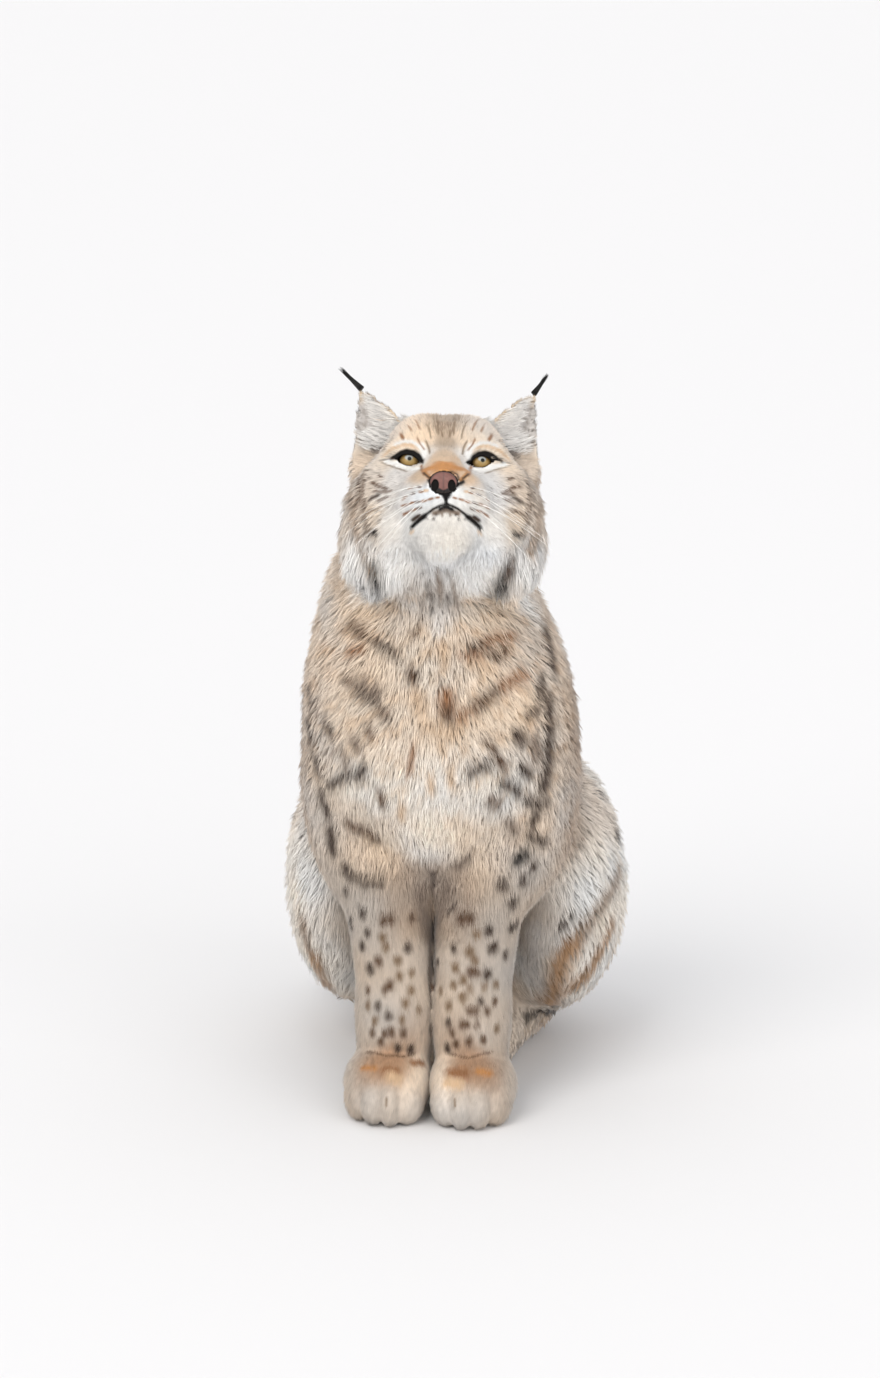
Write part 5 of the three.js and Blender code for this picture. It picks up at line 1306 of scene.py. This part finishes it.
# Locks scattered evenly over a patch of skin, each turned to the lie of the coat there, then made real mesh.
def coatTree():
    tree = bpy.data.node_groups.new("locks over skin", "GeometryNodeTree")
    face = tree.interface
    face.new_socket("Coat", in_out="OUTPUT", socket_type="NodeSocketGeometry")
    face.new_socket("Skin", in_out="INPUT", socket_type="NodeSocketGeometry")
    for name, kind in (("Spacing", "Float"), ("Most", "Float"), ("Stray", "Float"), ("Seed", "Int"),
                       ("Locks", "Collection"), ("Finish", "Material")):
        face.new_socket(name, in_out="INPUT", socket_type="NodeSocket" + kind)
    given = tree.nodes.new("NodeGroupInput").outputs
    named = "GeometryNodeInputNamedAttribute"
    lie, long, thick = (
        addNode(tree, named, {"data_type": kind}, {"Name": name}).outputs["Attribute"]
        for name, kind in (("lie", "FLOAT_VECTOR"), ("long", "FLOAT"), ("thick", "FLOAT")))
    scatter = addNode(tree, "GeometryNodeDistributePointsOnFaces", {"distribute_method": "POISSON"}, {
        "Mesh": given["Skin"], "Distance Min": given["Spacing"], "Density Max": given["Most"],
        "Density Factor": thick, "Seed": given["Seed"]})
    wander = addNode(tree, "FunctionNodeRandomValue", {"data_type": "FLOAT_VECTOR"}, {
        0: (-1, -1, -1), 1: (1, 1, 1), "Seed": given["Seed"]})
    strayed = addNode(tree, "ShaderNodeVectorMath", {"operation": "MULTIPLY_ADD"}, {
        0: wander.outputs[0], 1: given["Stray"], 2: lie})
    alongLie = addNode(tree, "FunctionNodeAlignRotationToVector", {"axis": "Z"}, {
        "Vector": strayed.outputs[0]})
    faceUp = addNode(tree, "FunctionNodeAlignRotationToVector", {"axis": "Y", "pivot_axis": "Z"}, {
        "Rotation": alongLie.outputs[0], "Vector": scatter.outputs["Normal"]})
    roll = addNode(tree, "FunctionNodeRandomValue", {"data_type": "FLOAT_VECTOR"}, {
        0: (0, 0, -0.6), 1: (0, 0, 0.6)})
    rollTurn = addNode(tree, "FunctionNodeEulerToRotation", None, {0: roll.outputs[0]})
    turnedLock = addNode(tree, "FunctionNodeRotateRotation", {"rotation_space": "LOCAL"}, {
        "Rotation": faceUp.outputs[0], "Rotate By": rollTurn.outputs[0]})
    vary = addNode(tree, "FunctionNodeRandomValue", {"data_type": "FLOAT"}, {2: 0.8, 3: 1.12})
    size = addNode(tree, "ShaderNodeMath", {"operation": "MULTIPLY"}, {0: long, 1: vary.outputs[1]})
    kinds = addNode(tree, "GeometryNodeCollectionInfo", None, {
        "Collection": given["Locks"], "Separate Children": True, "Reset Children": True})
    which = addNode(tree, "FunctionNodeRandomValue", {"data_type": "INT"}, {4: 0, 5: prototypeCount - 1})
    placed = addNode(tree, "GeometryNodeInstanceOnPoints", None, {
        "Points": scatter.outputs["Points"], "Instance": kinds.outputs[0], "Pick Instance": True,
        "Instance Index": which.outputs[2], "Rotation": turnedLock.outputs[0], "Scale": size.outputs[0]})
    real = addNode(tree, "GeometryNodeRealizeInstances", None, {"Geometry": placed.outputs[0]})
    finish = addNode(tree, "GeometryNodeSetMaterial", None, {
        "Geometry": real.outputs[0], "Material": given["Finish"]})
    addNode(tree, "NodeGroupOutput", None, {0: finish.outputs[0]})
    return tree


def socketOf(tree, name):
    return next(item.identifier for item in tree.interface.items_tree
                if item.name == name and getattr(item, "in_out", "") == "INPUT")


def patchOf(name, chosen):
    faces = skinFaces[chosen]
    used, numbered = np.unique(faces, return_inverse=True)
    mesh = meshFrom(name, skinPoints[used], numbered.reshape(faces.shape), shift)
    made = addObject(name, mesh)
    bpy.context.view_layer.objects.active = made
    made.select_set(True)
    bpy.ops.object.mode_set(mode="EDIT")
    bpy.ops.mesh.select_all(action="SELECT")
    bpy.ops.uv.smart_project(angle_limit=math.radians(patchTurn), island_margin=patchMargin)
    bpy.ops.object.mode_set(mode="OBJECT")
    made.select_set(False)
    mesh = made.data
    mesh.uv_layers[0].name = "patch"
    return made, used


def growCoat(name, number, chosen, finish):
    look = coatLooks[name]
    patch, used = patchOf(name + "Patch", chosen)
    mesh = patch.data
    writeValues(mesh, "lie", "FLOAT_VECTOR", lies[used])
    writeValues(mesh, "long", "FLOAT", hairLong[used] / 1000)
    writeValues(mesh, "thick", "FLOAT", hairThick[used])
    writeValues(mesh, "up", "FLOAT_VECTOR", skinNormals[used])
    area = sum(p.area for p in mesh.polygons)
    typical = float(np.median(hairLong[used]))
    locks = look["locks"] * 1
    spacing = math.sqrt(packing * area / locks)
    kinds = bpy.data.collections.new(name + "Locks")
    for k in range(prototypeCount):
        lock = lockMesh(f"{name}Lock{k}", look, typical, 10 * number + k)
        kinds.objects.link(bpy.data.objects.new(lock.name, lock))
    grow = patch.modifiers.new("grow", "NODES")
    grow.node_group = locksTree
    for socket, value in (("Spacing", spacing), ("Most", 4 / spacing ** 2), ("Stray", look["stray"]),
                          ("Seed", number), ("Locks", kinds), ("Finish", finish)):
        grow[socketOf(locksTree, socket)] = value
    found = bpy.context.evaluated_depsgraph_get()
    grown = bpy.data.meshes.new_from_object(
        patch.evaluated_get(found), preserve_all_data_layers=True, depsgraph=found)
    bpy.data.objects.remove(patch)
    for kind in list(kinds.objects):
        bpy.data.objects.remove(kind)
    bpy.data.collections.remove(kinds)
    return dressCoat(name, look, grown)


# A grown coat gets its colour from root to tip, soft normals, and a UV place for each hair of its own.
def dressCoat(name, look, mesh):
    each = 5 if look["hairs"] > 1 else 4
    count = len(mesh.vertices)
    co = np.zeros(count * 3, np.float32)
    mesh.vertices.foreach_get("co", co)
    co = co.reshape(-1, 3)
    along = readValues(mesh, "along", 1)
    strand = readValues(mesh, "strand", 1).reshape(-1, each)[:, 0]
    place = readValues(mesh, "patch", 2)
    co[:, 2] = np.maximum(co[:, 2], onGround)  # hair lies on the ground, not in it
    mesh.vertices.foreach_set("co", co.ravel())
    hairs = co.reshape(-1, each, 3)
    tip = hairs[:, -1] * 1000 - shift
    mid = (hairs[:, 1:-1] if each == 5 else hairs).mean(1) * 1000 - shift
    rng = np.random.default_rng(len(hairs))
    lock = np.arange(len(hairs)) // look["hairs"]
    ownLock = rng.uniform(0, 1, (2, lock[-1] + 1))[:, lock].astype(np.float32)
    ownHair = rng.uniform(0, 1, len(hairs)).astype(np.float32)
    noise = ownLock[0] + 0.2 * (ownHair - 0.5)
    inner = coatColour(mid, noise)
    outer = coatColour(tip, noise) if each == 5 else inner
    pale = look.get("pale", 0)
    outer, inner = (tone * (1 - pale) + linear(tones["white"]) * pale for tone in (outer, inner))
    bright = 1 + shades["lock"] * (2 * ownLock[1] - 1) + shades["hair"] * (2 * ownHair - 1)
    colour = np.repeat(inner[:, None] * bright[:, None, None], each, 1)
    colour[:, -1] = outer * bright[:, None]
    # Darker towards the root: greyer underfur and painted shade among the hairs.
    steps = np.interp(along, [0, thickest, 1], [shades["root"], shades["middle"], shades["tip"]])
    paint(mesh, colour.reshape(-1, 3) * steps.astype(np.float32)[:, None])
    up = readValues(mesh, "up", 3).reshape(-1, each, 3)
    ring = hairs[:, 1:-1] if each == 5 else hairs[:, :-1]
    away = hairs - ring.mean(1, keepdims=True)
    away = unit(away / np.maximum(length(away)[..., None], 1e-9))
    away[:, -1] = 0
    if each == 5:
        away[:, 0] = 0
    normals = unit(up * shades["soft"] + away * (1 - shades["soft"]))
    mesh.normals_split_custom_set_from_vertices(normals.reshape(-1, 3))
    offset = np.stack([along - 0.5, np.repeat(strand, each) - 0.5], 1) * 0.003
    corner = np.zeros(len(mesh.loops), np.int32)
    mesh.loops.foreach_get("vertex_index", corner)
    for extra in ("patch", "lie", "long", "thick", "up", "along", "strand"):
        if extra in mesh.attributes:
            mesh.attributes.remove(mesh.attributes[extra])
    layer = mesh.uv_layers.new(name="OFBake")
    layer.uv.foreach_set("vector", np.clip(place + offset, 0, 1)[corner].ravel())
    mesh.name = name
    return addObject(name, mesh)


# The skin, its lie of hair and the patches that the coats stand on.
skinNormals = unit(slopeOf(skinField, skinPoints)).astype(np.float32)
mixed, coatOf = combAt(skinPoints, [3, 4, 5, 6, 7])
broadGrain, fineGrain = 34, 11
wander = np.stack([mottle(skinPoints, broadGrain, s) for s in (11, 12, 13)], 1)
curl = np.stack([mottle(skinPoints, fineGrain, s) for s in (14, 15, 16)], 1)
flow = unit(mixed[:, :3]) + 0.16 * wander + 0.10 * curl
hairLong, coatThick = mixed[:, 3], mixed[:, 4]
skinSide = folded(toHead(skinPoints), 0)
sideSign = np.sign(toHead(skinPoints)[:, :1])
earT, earU, _, earAhead, _, _, _ = earPlace(skinSide)
onEar = (earT > 0.03) & (np.abs(earAhead) < 10) & (np.abs(earU) < 1.35) & (skinPoints[:, 2] > 640)
earInside = onEar & (earAhead > 0)
earLie = 0.92 * earUp + 0.28 * earU[:, None] * earSide
earLie = np.where(sideSign > 0, earLie, earLie * triple((-1, 1, 1))) @ headAxes.T
flow = np.where(onEar[:, None], unit(earLie) + 0.1 * curl, flow)
earLong = np.where(earInside, 4.5, 5.5) - 2 * np.clip((np.abs(earU) - 0.6) / 0.3, 0, 1)
hairLong = np.where(onEar, earLong, hairLong).astype(np.float32)
coatThick = np.where(onEar, 1.3, coatThick)
flow = unit(flow - (flow * skinNormals).sum(1)[:, None] * skinNormals)
coatNames = coats + ["coatEars", "coatEarFringe"]
coatOf = np.where(onEar, coatNames.index("coatEars"), coatOf)
bends = np.array([coatLooks[name]["bend"] for name in coatNames], np.float32)[coatOf]
lift = np.arcsin(np.clip(coatThick / hairLong * 0.95, 0.05, 0.8)) + np.radians(bends) / 2
lies = (np.cos(lift)[:, None] * flow + np.sin(lift)[:, None] * skinNormals).astype(np.float32)
hairThick = bareness(skinPoints).astype(np.float32)
report("skin combed")

skinMesh = meshFrom("skin", skinPoints, skinFaces, shift)
skin = addObject("skin", skinMesh)
under = coatColour(skinPoints + skinNormals * coatThick[:, None], np.full(len(skinPoints), 0.6, np.float32))
# Up to a fifth darker where the coat over it is deep: partly darker underfur, partly painted shade under
# hair.
under = under * (0.8 + 0.2 * np.clip(1 - coatThick / 6, 0, 1))[:, None]
bareBlack = eggField(toHead(skinPoints), noseRing["at"], noseRing["black"]) < 0
bareBlack |= (lidRim(skinSide) < 1) & (skinPoints[:, 2] > 600) & (toHead(skinPoints)[:, 1] < 0)
under[bareBlack] = linear(tones["black"])
paint(skinMesh, under)
give(skin, hideMaterial(), "body_coat", "head", "ear_left", "ear_right", "neck", "chest", "rump", "tail",
     "foreleg_left", "foreleg_right", "forepaw_left", "forepaw_right", "thigh_left", "thigh_right",
     "hind_foot_left", "hind_foot_right")
report("skin painted")

hair = hairMaterial("winter guard hair", 0.62, 0.25)
locksTree = coatTree()
mainCoat = np.sort(coatOf[skinFaces], 1)[:, 1]
total = len(skinFaces)
for number, name in enumerate(coatNames[:-1], 1):
    chosen = mainCoat == number - 1
    made = growCoat(name, number, chosen, hair)
    give(made, hair, coatLooks[name]["slot"])
    total += len(made.data.polygons)
    report(f"{name}: {len(made.data.polygons)} triangles")

# Long pale hair stands along the ear's inner edge and sweeps across its cup.
fringeLie = 0.5 * earUp + 0.75 * earSide + 0.3 * earFront
fringeLie = unit(np.where(sideSign > 0, fringeLie, fringeLie * triple((-1, 1, 1))) @ headAxes.T)
lies = (fringeLie + 0.1 * curl).astype(np.float32)
hairLong = np.interp(earT, [0, 0.35, 0.9], [14, 19, 9]).astype(np.float32)
inRim = earInside & ((earU < -0.4) & (earT < 0.85) | (earU < 0.35) & (earT < 0.3))
chosen = inRim[skinFaces].all(1)
made = growCoat("coatEarFringe", len(coatNames), chosen, hair)
give(made, hair, "ear_coat")
total += len(made.data.polygons)
report(f"coatEarFringe: {len(made.data.polygons)} triangles")


# Eyes: an amber iris with fine spokes, a small pupil and a dark rim, under a slightly swollen cornea.
# The pale blue patch over the pupil is a painted reflection of the sky; the eye's top is painted in shade.
eyeLook = {"iris": 9.4, "pupil": 1.75, "swell": 0.7, "cornea": 44, "cap": 50, "around": 72,
           "rings": 48, "behind": 8,
           "gazeRight": (0.0, -1, -0.02), "gazeLeft": (0.2, -1, 0.0), "spokes": 34,
           "outer": "#4f3b23", "middle": "#a0834f", "inner": "#978863", "white": "#1d1511",
           # sheen is that painted reflection: its colour, its middle and half sizes in mm from the pupil, its
           # share.
           "sheen": "#b9c8d2", "paintedSkyReflectionAt": (-0.6, 1.3), "paintedSkyReflectionSize": (4.4, 2.9), "paintedSkyReflectionShare": 0.5}


def irisColour(far, across, high):
    turn = np.arctan2(high, across)
    spokes = 0.5 + 0.5 * np.sin(eyeLook["spokes"] * turn + 3 * np.sin(5 * turn) + 0.8 * far)
    share = np.clip((far - eyeLook["pupil"]) / (eyeLook["iris"] - eyeLook["pupil"]), 0, 1)[:, None]
    inner, middle, outer = (linear(eyeLook[name]) for name in ("inner", "middle", "outer"))
    colour = np.where(share < 0.3, inner + (middle - inner) * share / 0.3,
                      middle + (outer - middle) * np.clip((share - 0.3) / 0.7, 0, 1) ** 1.5)
    limbus = np.clip((eyeLook["iris"] - far) / 0.7, 0, 1)
    colour *= ((0.78 + 0.4 * spokes) * (0.25 + 0.75 * limbus))[:, None]
    colour[far > eyeLook["iris"]] = linear(eyeLook["white"])
    colour *= np.clip(1 - (high + 1) / 7.5, 0.2, 1)[:, None]  # the heavy upper lid shades the eye's top
    # Painted reflection of the sky: a pale blue patch over the pupil.
    x = (across - eyeLook["paintedSkyReflectionAt"][0]) / eyeLook["paintedSkyReflectionSize"][0]
    y = (high - eyeLook["paintedSkyReflectionAt"][1]) / eyeLook["paintedSkyReflectionSize"][1]
    sheen = np.clip((1 - np.hypot(x, y)) * 3, 0, 1)[:, None] * eyeLook["paintedSkyReflectionShare"]
    colour = colour * (1 - sheen) + linear(eyeLook["sheen"]) * sheen
    return colour * np.clip((far - eyeLook["pupil"]) / 0.35, 0.04, 1)[:, None]


def eyeball(name, side, gaze):
    ahead = unit(triple(gaze))
    across = unit(np.cross(ahead, triple((0, 0, 1))))
    top = np.cross(across, ahead)
    n, m = eyeLook["around"], eyeLook["rings"]
    cap, behind = eyeLook["cap"], eyeLook["behind"]
    angle = np.concatenate([np.linspace(0, cap, m - behind), np.linspace(cap + 6, 180, behind)])
    a, t = np.meshgrid(np.radians(angle[1:-1]), np.arange(n) * 2 * math.pi / n, indexing="ij")
    a = np.concatenate([[0], a.ravel(), [math.pi]])
    t = np.concatenate([[0], t.ravel(), [0]])
    radius = eye["radius"] + eyeLook["swell"] * np.clip(1 - (np.degrees(a) / eyeLook["cornea"]) ** 2, 0, 1)
    around = np.cos(t)[:, None] * across + np.sin(t)[:, None] * top
    spot = radius[:, None] * (np.cos(a)[:, None] * ahead + np.sin(a)[:, None] * around)
    points = fromHead(triple(eye["at"]) * triple((side, 1, 1)) + spot)
    last = len(points) - 1
    faces = []
    for j in range(n):
        k = (j + 1) % n
        faces += [(0, 1 + k, 1 + j), (last - n + j, last - n + k, last)]
        for i in range(m - 3):
            low, high = 1 + i * n, 1 + (i + 1) * n
            faces += [(low + j, low + k, high + k), (low + j, high + k, high + j)]
    mesh = meshFrom(name, points, np.array(faces), shift)
    far = eye["radius"] * np.sin(np.minimum(a, math.pi / 2))
    paint(mesh, irisColour(far, -far * np.cos(t), far * np.sin(t)))
    return addObject(name, mesh)


wet = eyeMaterial()
for side, name, gaze in ((1, "eyeLeft", "gazeLeft"), (-1, "eyeRight", "gazeRight")):
    ball = eyeball(name, side, eyeLook[gaze])
    give(ball, wet, "eye", "eye_left" if side > 0 else "eye_right")


# The nose: brownish pink leather with a dark edge, comma-shaped nostrils and a groove down the middle.
nose = {"middle": (0, -60, -48.4), "size": (13.2, 12, 10.6), "cell": 0.55, "proud": 0.3,
        "nostril": (7.5, -57, -50), "nostrilSize": (3.8, 8, 6.2), "lean": 22,
        "tailFrom": (9, -58, -50), "tailTo": (14, -49, -50.5), "tailSize": (2.6, 1.4),
        "leather": "#765049", "edge": "#2a1d19", "hole": "#0e0a09", "line": "#54403d"}


def nostrilField(side):
    hole = eggField(side, nose["nostril"], nose["nostrilSize"], lean=nose["lean"])
    return smoothMin(hole, limbField(side, nose["tailFrom"], nose["tailTo"], nose["tailSize"]), 1.5)


def noseField(p):
    q = toHead(p)
    side = folded(q, 0)
    region = eggField(q, nose["middle"], nose["size"])
    v = levelShare * q[:, 2] + frontShare * q[:, 1]
    lobe = 0.8 * np.exp(-((side[:, 0] - 7.5) ** 2 + (v + 17.5) ** 2) / 16)
    groove = 0.7 * np.exp(-(q[:, 0] / 0.8) ** 2) * np.clip((-16 - v) / 3, 0, 1)
    d = smoothMax(coatField(p) - nose["proud"] - lobe + groove, region, 1.4)
    return smoothMax(d, -nostrilField(side), 0.7)


noseMiddle = fromHead(nose["middle"])


def noseCell(n):
    return (noseMiddle + np.asarray(n, np.float32) * nose["cell"]).astype(np.float32)


nosePoints, noseQuads = netOver(noseField, noseCell, (-40, -40, -40), (40, 40, 40))
nosePoints = relaxed(noseField, nosePoints, noseQuads, 2, 0.4)
q = toHead(nosePoints)
v = levelShare * q[:, 2] + frontShare * q[:, 1]
edge = np.clip(-eggField(q, nose["middle"], nose["size"]) / 1.6, 0, 1)[:, None]
hole = np.clip((nostrilField(folded(q, 0)) + 0.1) / 0.9, 0, 1)[:, None]
line = np.exp(-(q[:, :1] / 0.7) ** 2) * 0.55
low = np.clip((-28.6 + 0.45 * np.abs(q[:, 0]) - v) / 1.6, 0, 1)[:, None]
colour = linear(nose["leather"]) * (1 + 0.12 * mottle(nosePoints, 5, 21)[:, None])
colour = colour * (1 - line) + linear(nose["line"]) * line
colour = colour * (1 - low) + linear(nose["hole"]) * low
colour = linear(nose["edge"]) * (1 - edge) + colour * edge
colour = linear(nose["hole"]) * (1 - hole) + colour * hole
noseMesh = meshFrom("noseLeather", nosePoints, noseQuads, shift)
paint(noseMesh, colour)
give(addObject("noseLeather", noseMesh), leatherMaterial(), "nose_leather", "nose")
report("eyes and nose made")


offAxis = triple((0.31, 0.2, 0.93))  # no tuft hair or whisker runs this way


# Stiff black hairs in a pencil at the ear's tip, and the whiskers: each a closed tapering tube along a curve.
def tube(points, faces, path, radii):
    base, sides = len(points), 4
    for k, (spot, radius) in enumerate(zip(path, radii)):
        ahead = unit(path[min(k + 1, len(path) - 1)] - path[max(k - 1, 0)])
        across = unit(np.cross(ahead, offAxis))
        top = np.cross(ahead, across)
        turn = np.arange(sides) * 2 * math.pi / sides
        points.extend(spot + radius * (np.cos(a) * across + np.sin(a) * top) for a in turn)
    for k in range(len(path) - 1):
        for s in range(sides):
            a, b = base + k * sides + s, base + k * sides + (s + 1) % sides
            faces.append((a, b, b + sides, a + sides))
    last = base + (len(path) - 1) * sides
    faces.append((base + 3, base + 2, base + 1, base))
    faces.append((last, last + 1, last + 2, last + 3))


tufts = {"hairs": 90, "root": 3.0, "rise": 3, "back": 5, "wide": 0.42, "sunk": 6, "shortest": 0.55,
         "sway": 2.2, "leftLong": 20, "rightLong": 26, "leftWay": (0.53, 0.05, 0.82),
         "rightWay": (-0.70, 0.05, 0.70), "tone": "black"}


def earTuft(name, side, way, long, seed):
    rng = np.random.default_rng(seed)
    root = triple(ear["base"]) + earUp * (earTall + tufts["rise"]) - earFront * tufts["back"]
    root = root * triple((side, 1, 1))
    way = unit(triple(way))
    across = unit(np.cross(way, triple((0, 1, 0))))
    other = np.cross(way, across)
    points, faces = [], []
    for _ in range(tufts["hairs"]):
        turn, far = rng.uniform(0, 2 * math.pi), math.sqrt(rng.uniform()) * tufts["root"]
        foot = math.cos(turn) * across + math.sin(turn) * other
        reach = long * rng.uniform(tufts["shortest"], 1.0)
        stray = rng.normal(0, 0.9, 2)
        sunk, sway = tufts["sunk"], tufts["sway"]
        path = [fromHead(root - way * sunk + way * (reach + sunk) * t + foot * far * (1 - 0.85 * t) +
                         (across * stray[0] + other * stray[1]) * t * t + other * sway * t * t)
                for t in np.linspace(0, 1, 6)]
        tube(points, faces, path, tufts["wide"] * np.array([1, 1, 0.9, 0.75, 0.5, 0.12]))
    mesh = meshFrom(name, np.array(points, np.float32), np.array(faces), shift)
    paint(mesh, np.tile(linear(tones[tufts["tone"]]), (len(points), 1)))
    return addObject(name, mesh)


stiff = hairMaterial("stiff black tuft hair", 0.45, 0.0)
for side, name in ((1, "left"), (-1, "right")):
    made = earTuft("earTuft" + name.title(), side, tufts[name + "Way"], tufts[name + "Long"], 40 + side)
    give(made, stiff, "ear_tuft", "ear_tuft_" + name)

whiskers = {"wide": 0.24, "tone": "white", "droop": 16, "sunk": 3, "stray": 0.08, "points": 11, "seed": 8}
# Each whisker's root in pixels, its length, and its way in the head's axes. The other side mirrors them.
whiskerRoots = (
    ((419, 486), 46, (0.85, 0.35, 0.1)), ((411, 487.5), 62, (0.9, 0.35, 0.0)),
    ((421, 491), 52, (0.9, 0.3, -0.1)), ((413, 493), 74, (0.92, 0.3, -0.15)),
    ((404, 498), 80, (0.92, 0.35, -0.2)), ((424, 500.5), 56, (0.85, 0.25, -0.35)),
    ((417, 501.6), 76, (0.88, 0.25, -0.35)), ((408, 503.6), 84, (0.88, 0.3, -0.4)),
    ((419, 508), 60, (0.8, 0.25, -0.5)), ((412, 510.5), 70, (0.8, 0.25, -0.55)),
)


def whiskerPiece():
    rng = np.random.default_rng(whiskers["seed"])
    sunk = whiskers["sunk"]
    points, faces = [], []
    for pixel, long, way in whiskerRoots:
        for side in (-1, 1):
            root = onCoat(mirrored([pixel]) if side > 0 else [pixel])[0]
            stray = whiskers["stray"] * rng.normal(size=3).astype(np.float32)
            lead = unit(triple((side * way[0], way[1], way[2])) + stray) @ headAxes.T
            reach = long * rng.uniform(0.85, 1.05)
            path = [root - lead * sunk + lead * (reach + sunk) * t - triple((0, 0, whiskers["droop"])) * t * t
                    for t in np.linspace(0, 1, whiskers["points"])]
            tube(points, faces, path, whiskers["wide"] * np.linspace(1, 0.12, whiskers["points"]))
    mesh = meshFrom("whiskers", np.array(points, np.float32), np.array(faces), shift)
    paint(mesh, np.tile(linear(tones[whiskers["tone"]]), (len(points), 1)))
    return addObject("whiskers", mesh)


give(whiskerPiece(), hairMaterial("stiff pale whisker hair", 0.35, 0.0), "face_coat")
report("tufts and whiskers made")

# Camera, floor and light.
cameraData = bpy.data.cameras.new("camera")
cameraData.lens = view["lens"]
cameraData.sensor_width = sensor
cameraData.clip_end = 50
camera = bpy.data.objects.new("camera", cameraData)
bpy.context.scene.collection.objects.link(camera)
camera.location = [float(c) for c in (viewEye + shift) / 1000]
camera.rotation_euler = (math.radians(90 - view["elevation"]), 0, math.radians(view["azimuth"]))
bpy.context.scene.camera = camera

studio = {"floor": "#dededf", "floorSize": 40, "air": "#fafafb", "airStrength": 0.97,
          "key": dict(way=(0.45, 0.85, -0.8), strength=1.3, angle=35, tone="#fffbf6"),
          "fill": dict(way=(-0.7, 0.85, -0.28), strength=1.15, angle=60, tone="#fefdfd"),
          "catch": dict(at=(-0.3, -1.6, 3.8), toward=(0, 0, 0.7), size=0.7, power=9, tone="#ffffff")}


def floorPiece():
    half = studio["floorSize"] / 2
    corners = triple([(-half, -half, 0), (half, -half, 0), (half, half, 0), (-half, half, 0)]) * 1000
    made, tree = newMaterial("matt white board")
    surface = addNode(tree, "ShaderNodeBsdfPrincipled", None, {
        "Base Color": (*linear(studio["floor"]), 1), "Roughness": 0.9})
    addNode(tree, "ShaderNodeOutputMaterial", None, {"Surface": surface.outputs["BSDF"]})
    floor = addObject("floor", meshFrom("floor", corners, np.array([[0, 1, 2, 3]]), 0))
    floor.data.materials.append(made)


def place(name, data, tone, way, at=(0, 0, 3)):
    data.color = [float(c) for c in linear(tone)]
    made = bpy.data.objects.new(name, data)
    bpy.context.scene.collection.objects.link(made)
    made.location = at
    down = math.atan2(math.hypot(way[0], way[1]), -way[2])
    made.rotation_euler = (down, 0, math.atan2(way[1], way[0]) - math.pi / 2)


# A wide soft source from one side, even over the whole floor.
def softSun(name, way, strength, angle, tone):
    data = bpy.data.lights.new(name, "SUN")
    data.energy = strength
    data.angle = math.radians(angle)
    place(name, data, tone, way)


# A small lamp above the camera that gives the eyes their catch light.
def catchLamp(name, at, toward, size, power, tone):
    data = bpy.data.lights.new(name, "AREA")
    data.size = size
    data.energy = power
    place(name, data, tone, np.array(toward) - np.array(at), at)


floorPiece()
softSun("key", **studio["key"])
softSun("fill", **studio["fill"])
catchLamp("catch", **studio["catch"])
world = bpy.data.worlds.new("studio air")
world.use_nodes = True
air = world.node_tree.nodes["Background"]
air.inputs["Color"].default_value = (*linear(studio["air"]), 1)
air.inputs["Strength"].default_value = studio["airStrength"]
bpy.context.scene.world = world
bpy.context.scene.view_settings.view_transform = "Standard"

report(f"whole model: about {total} triangles")
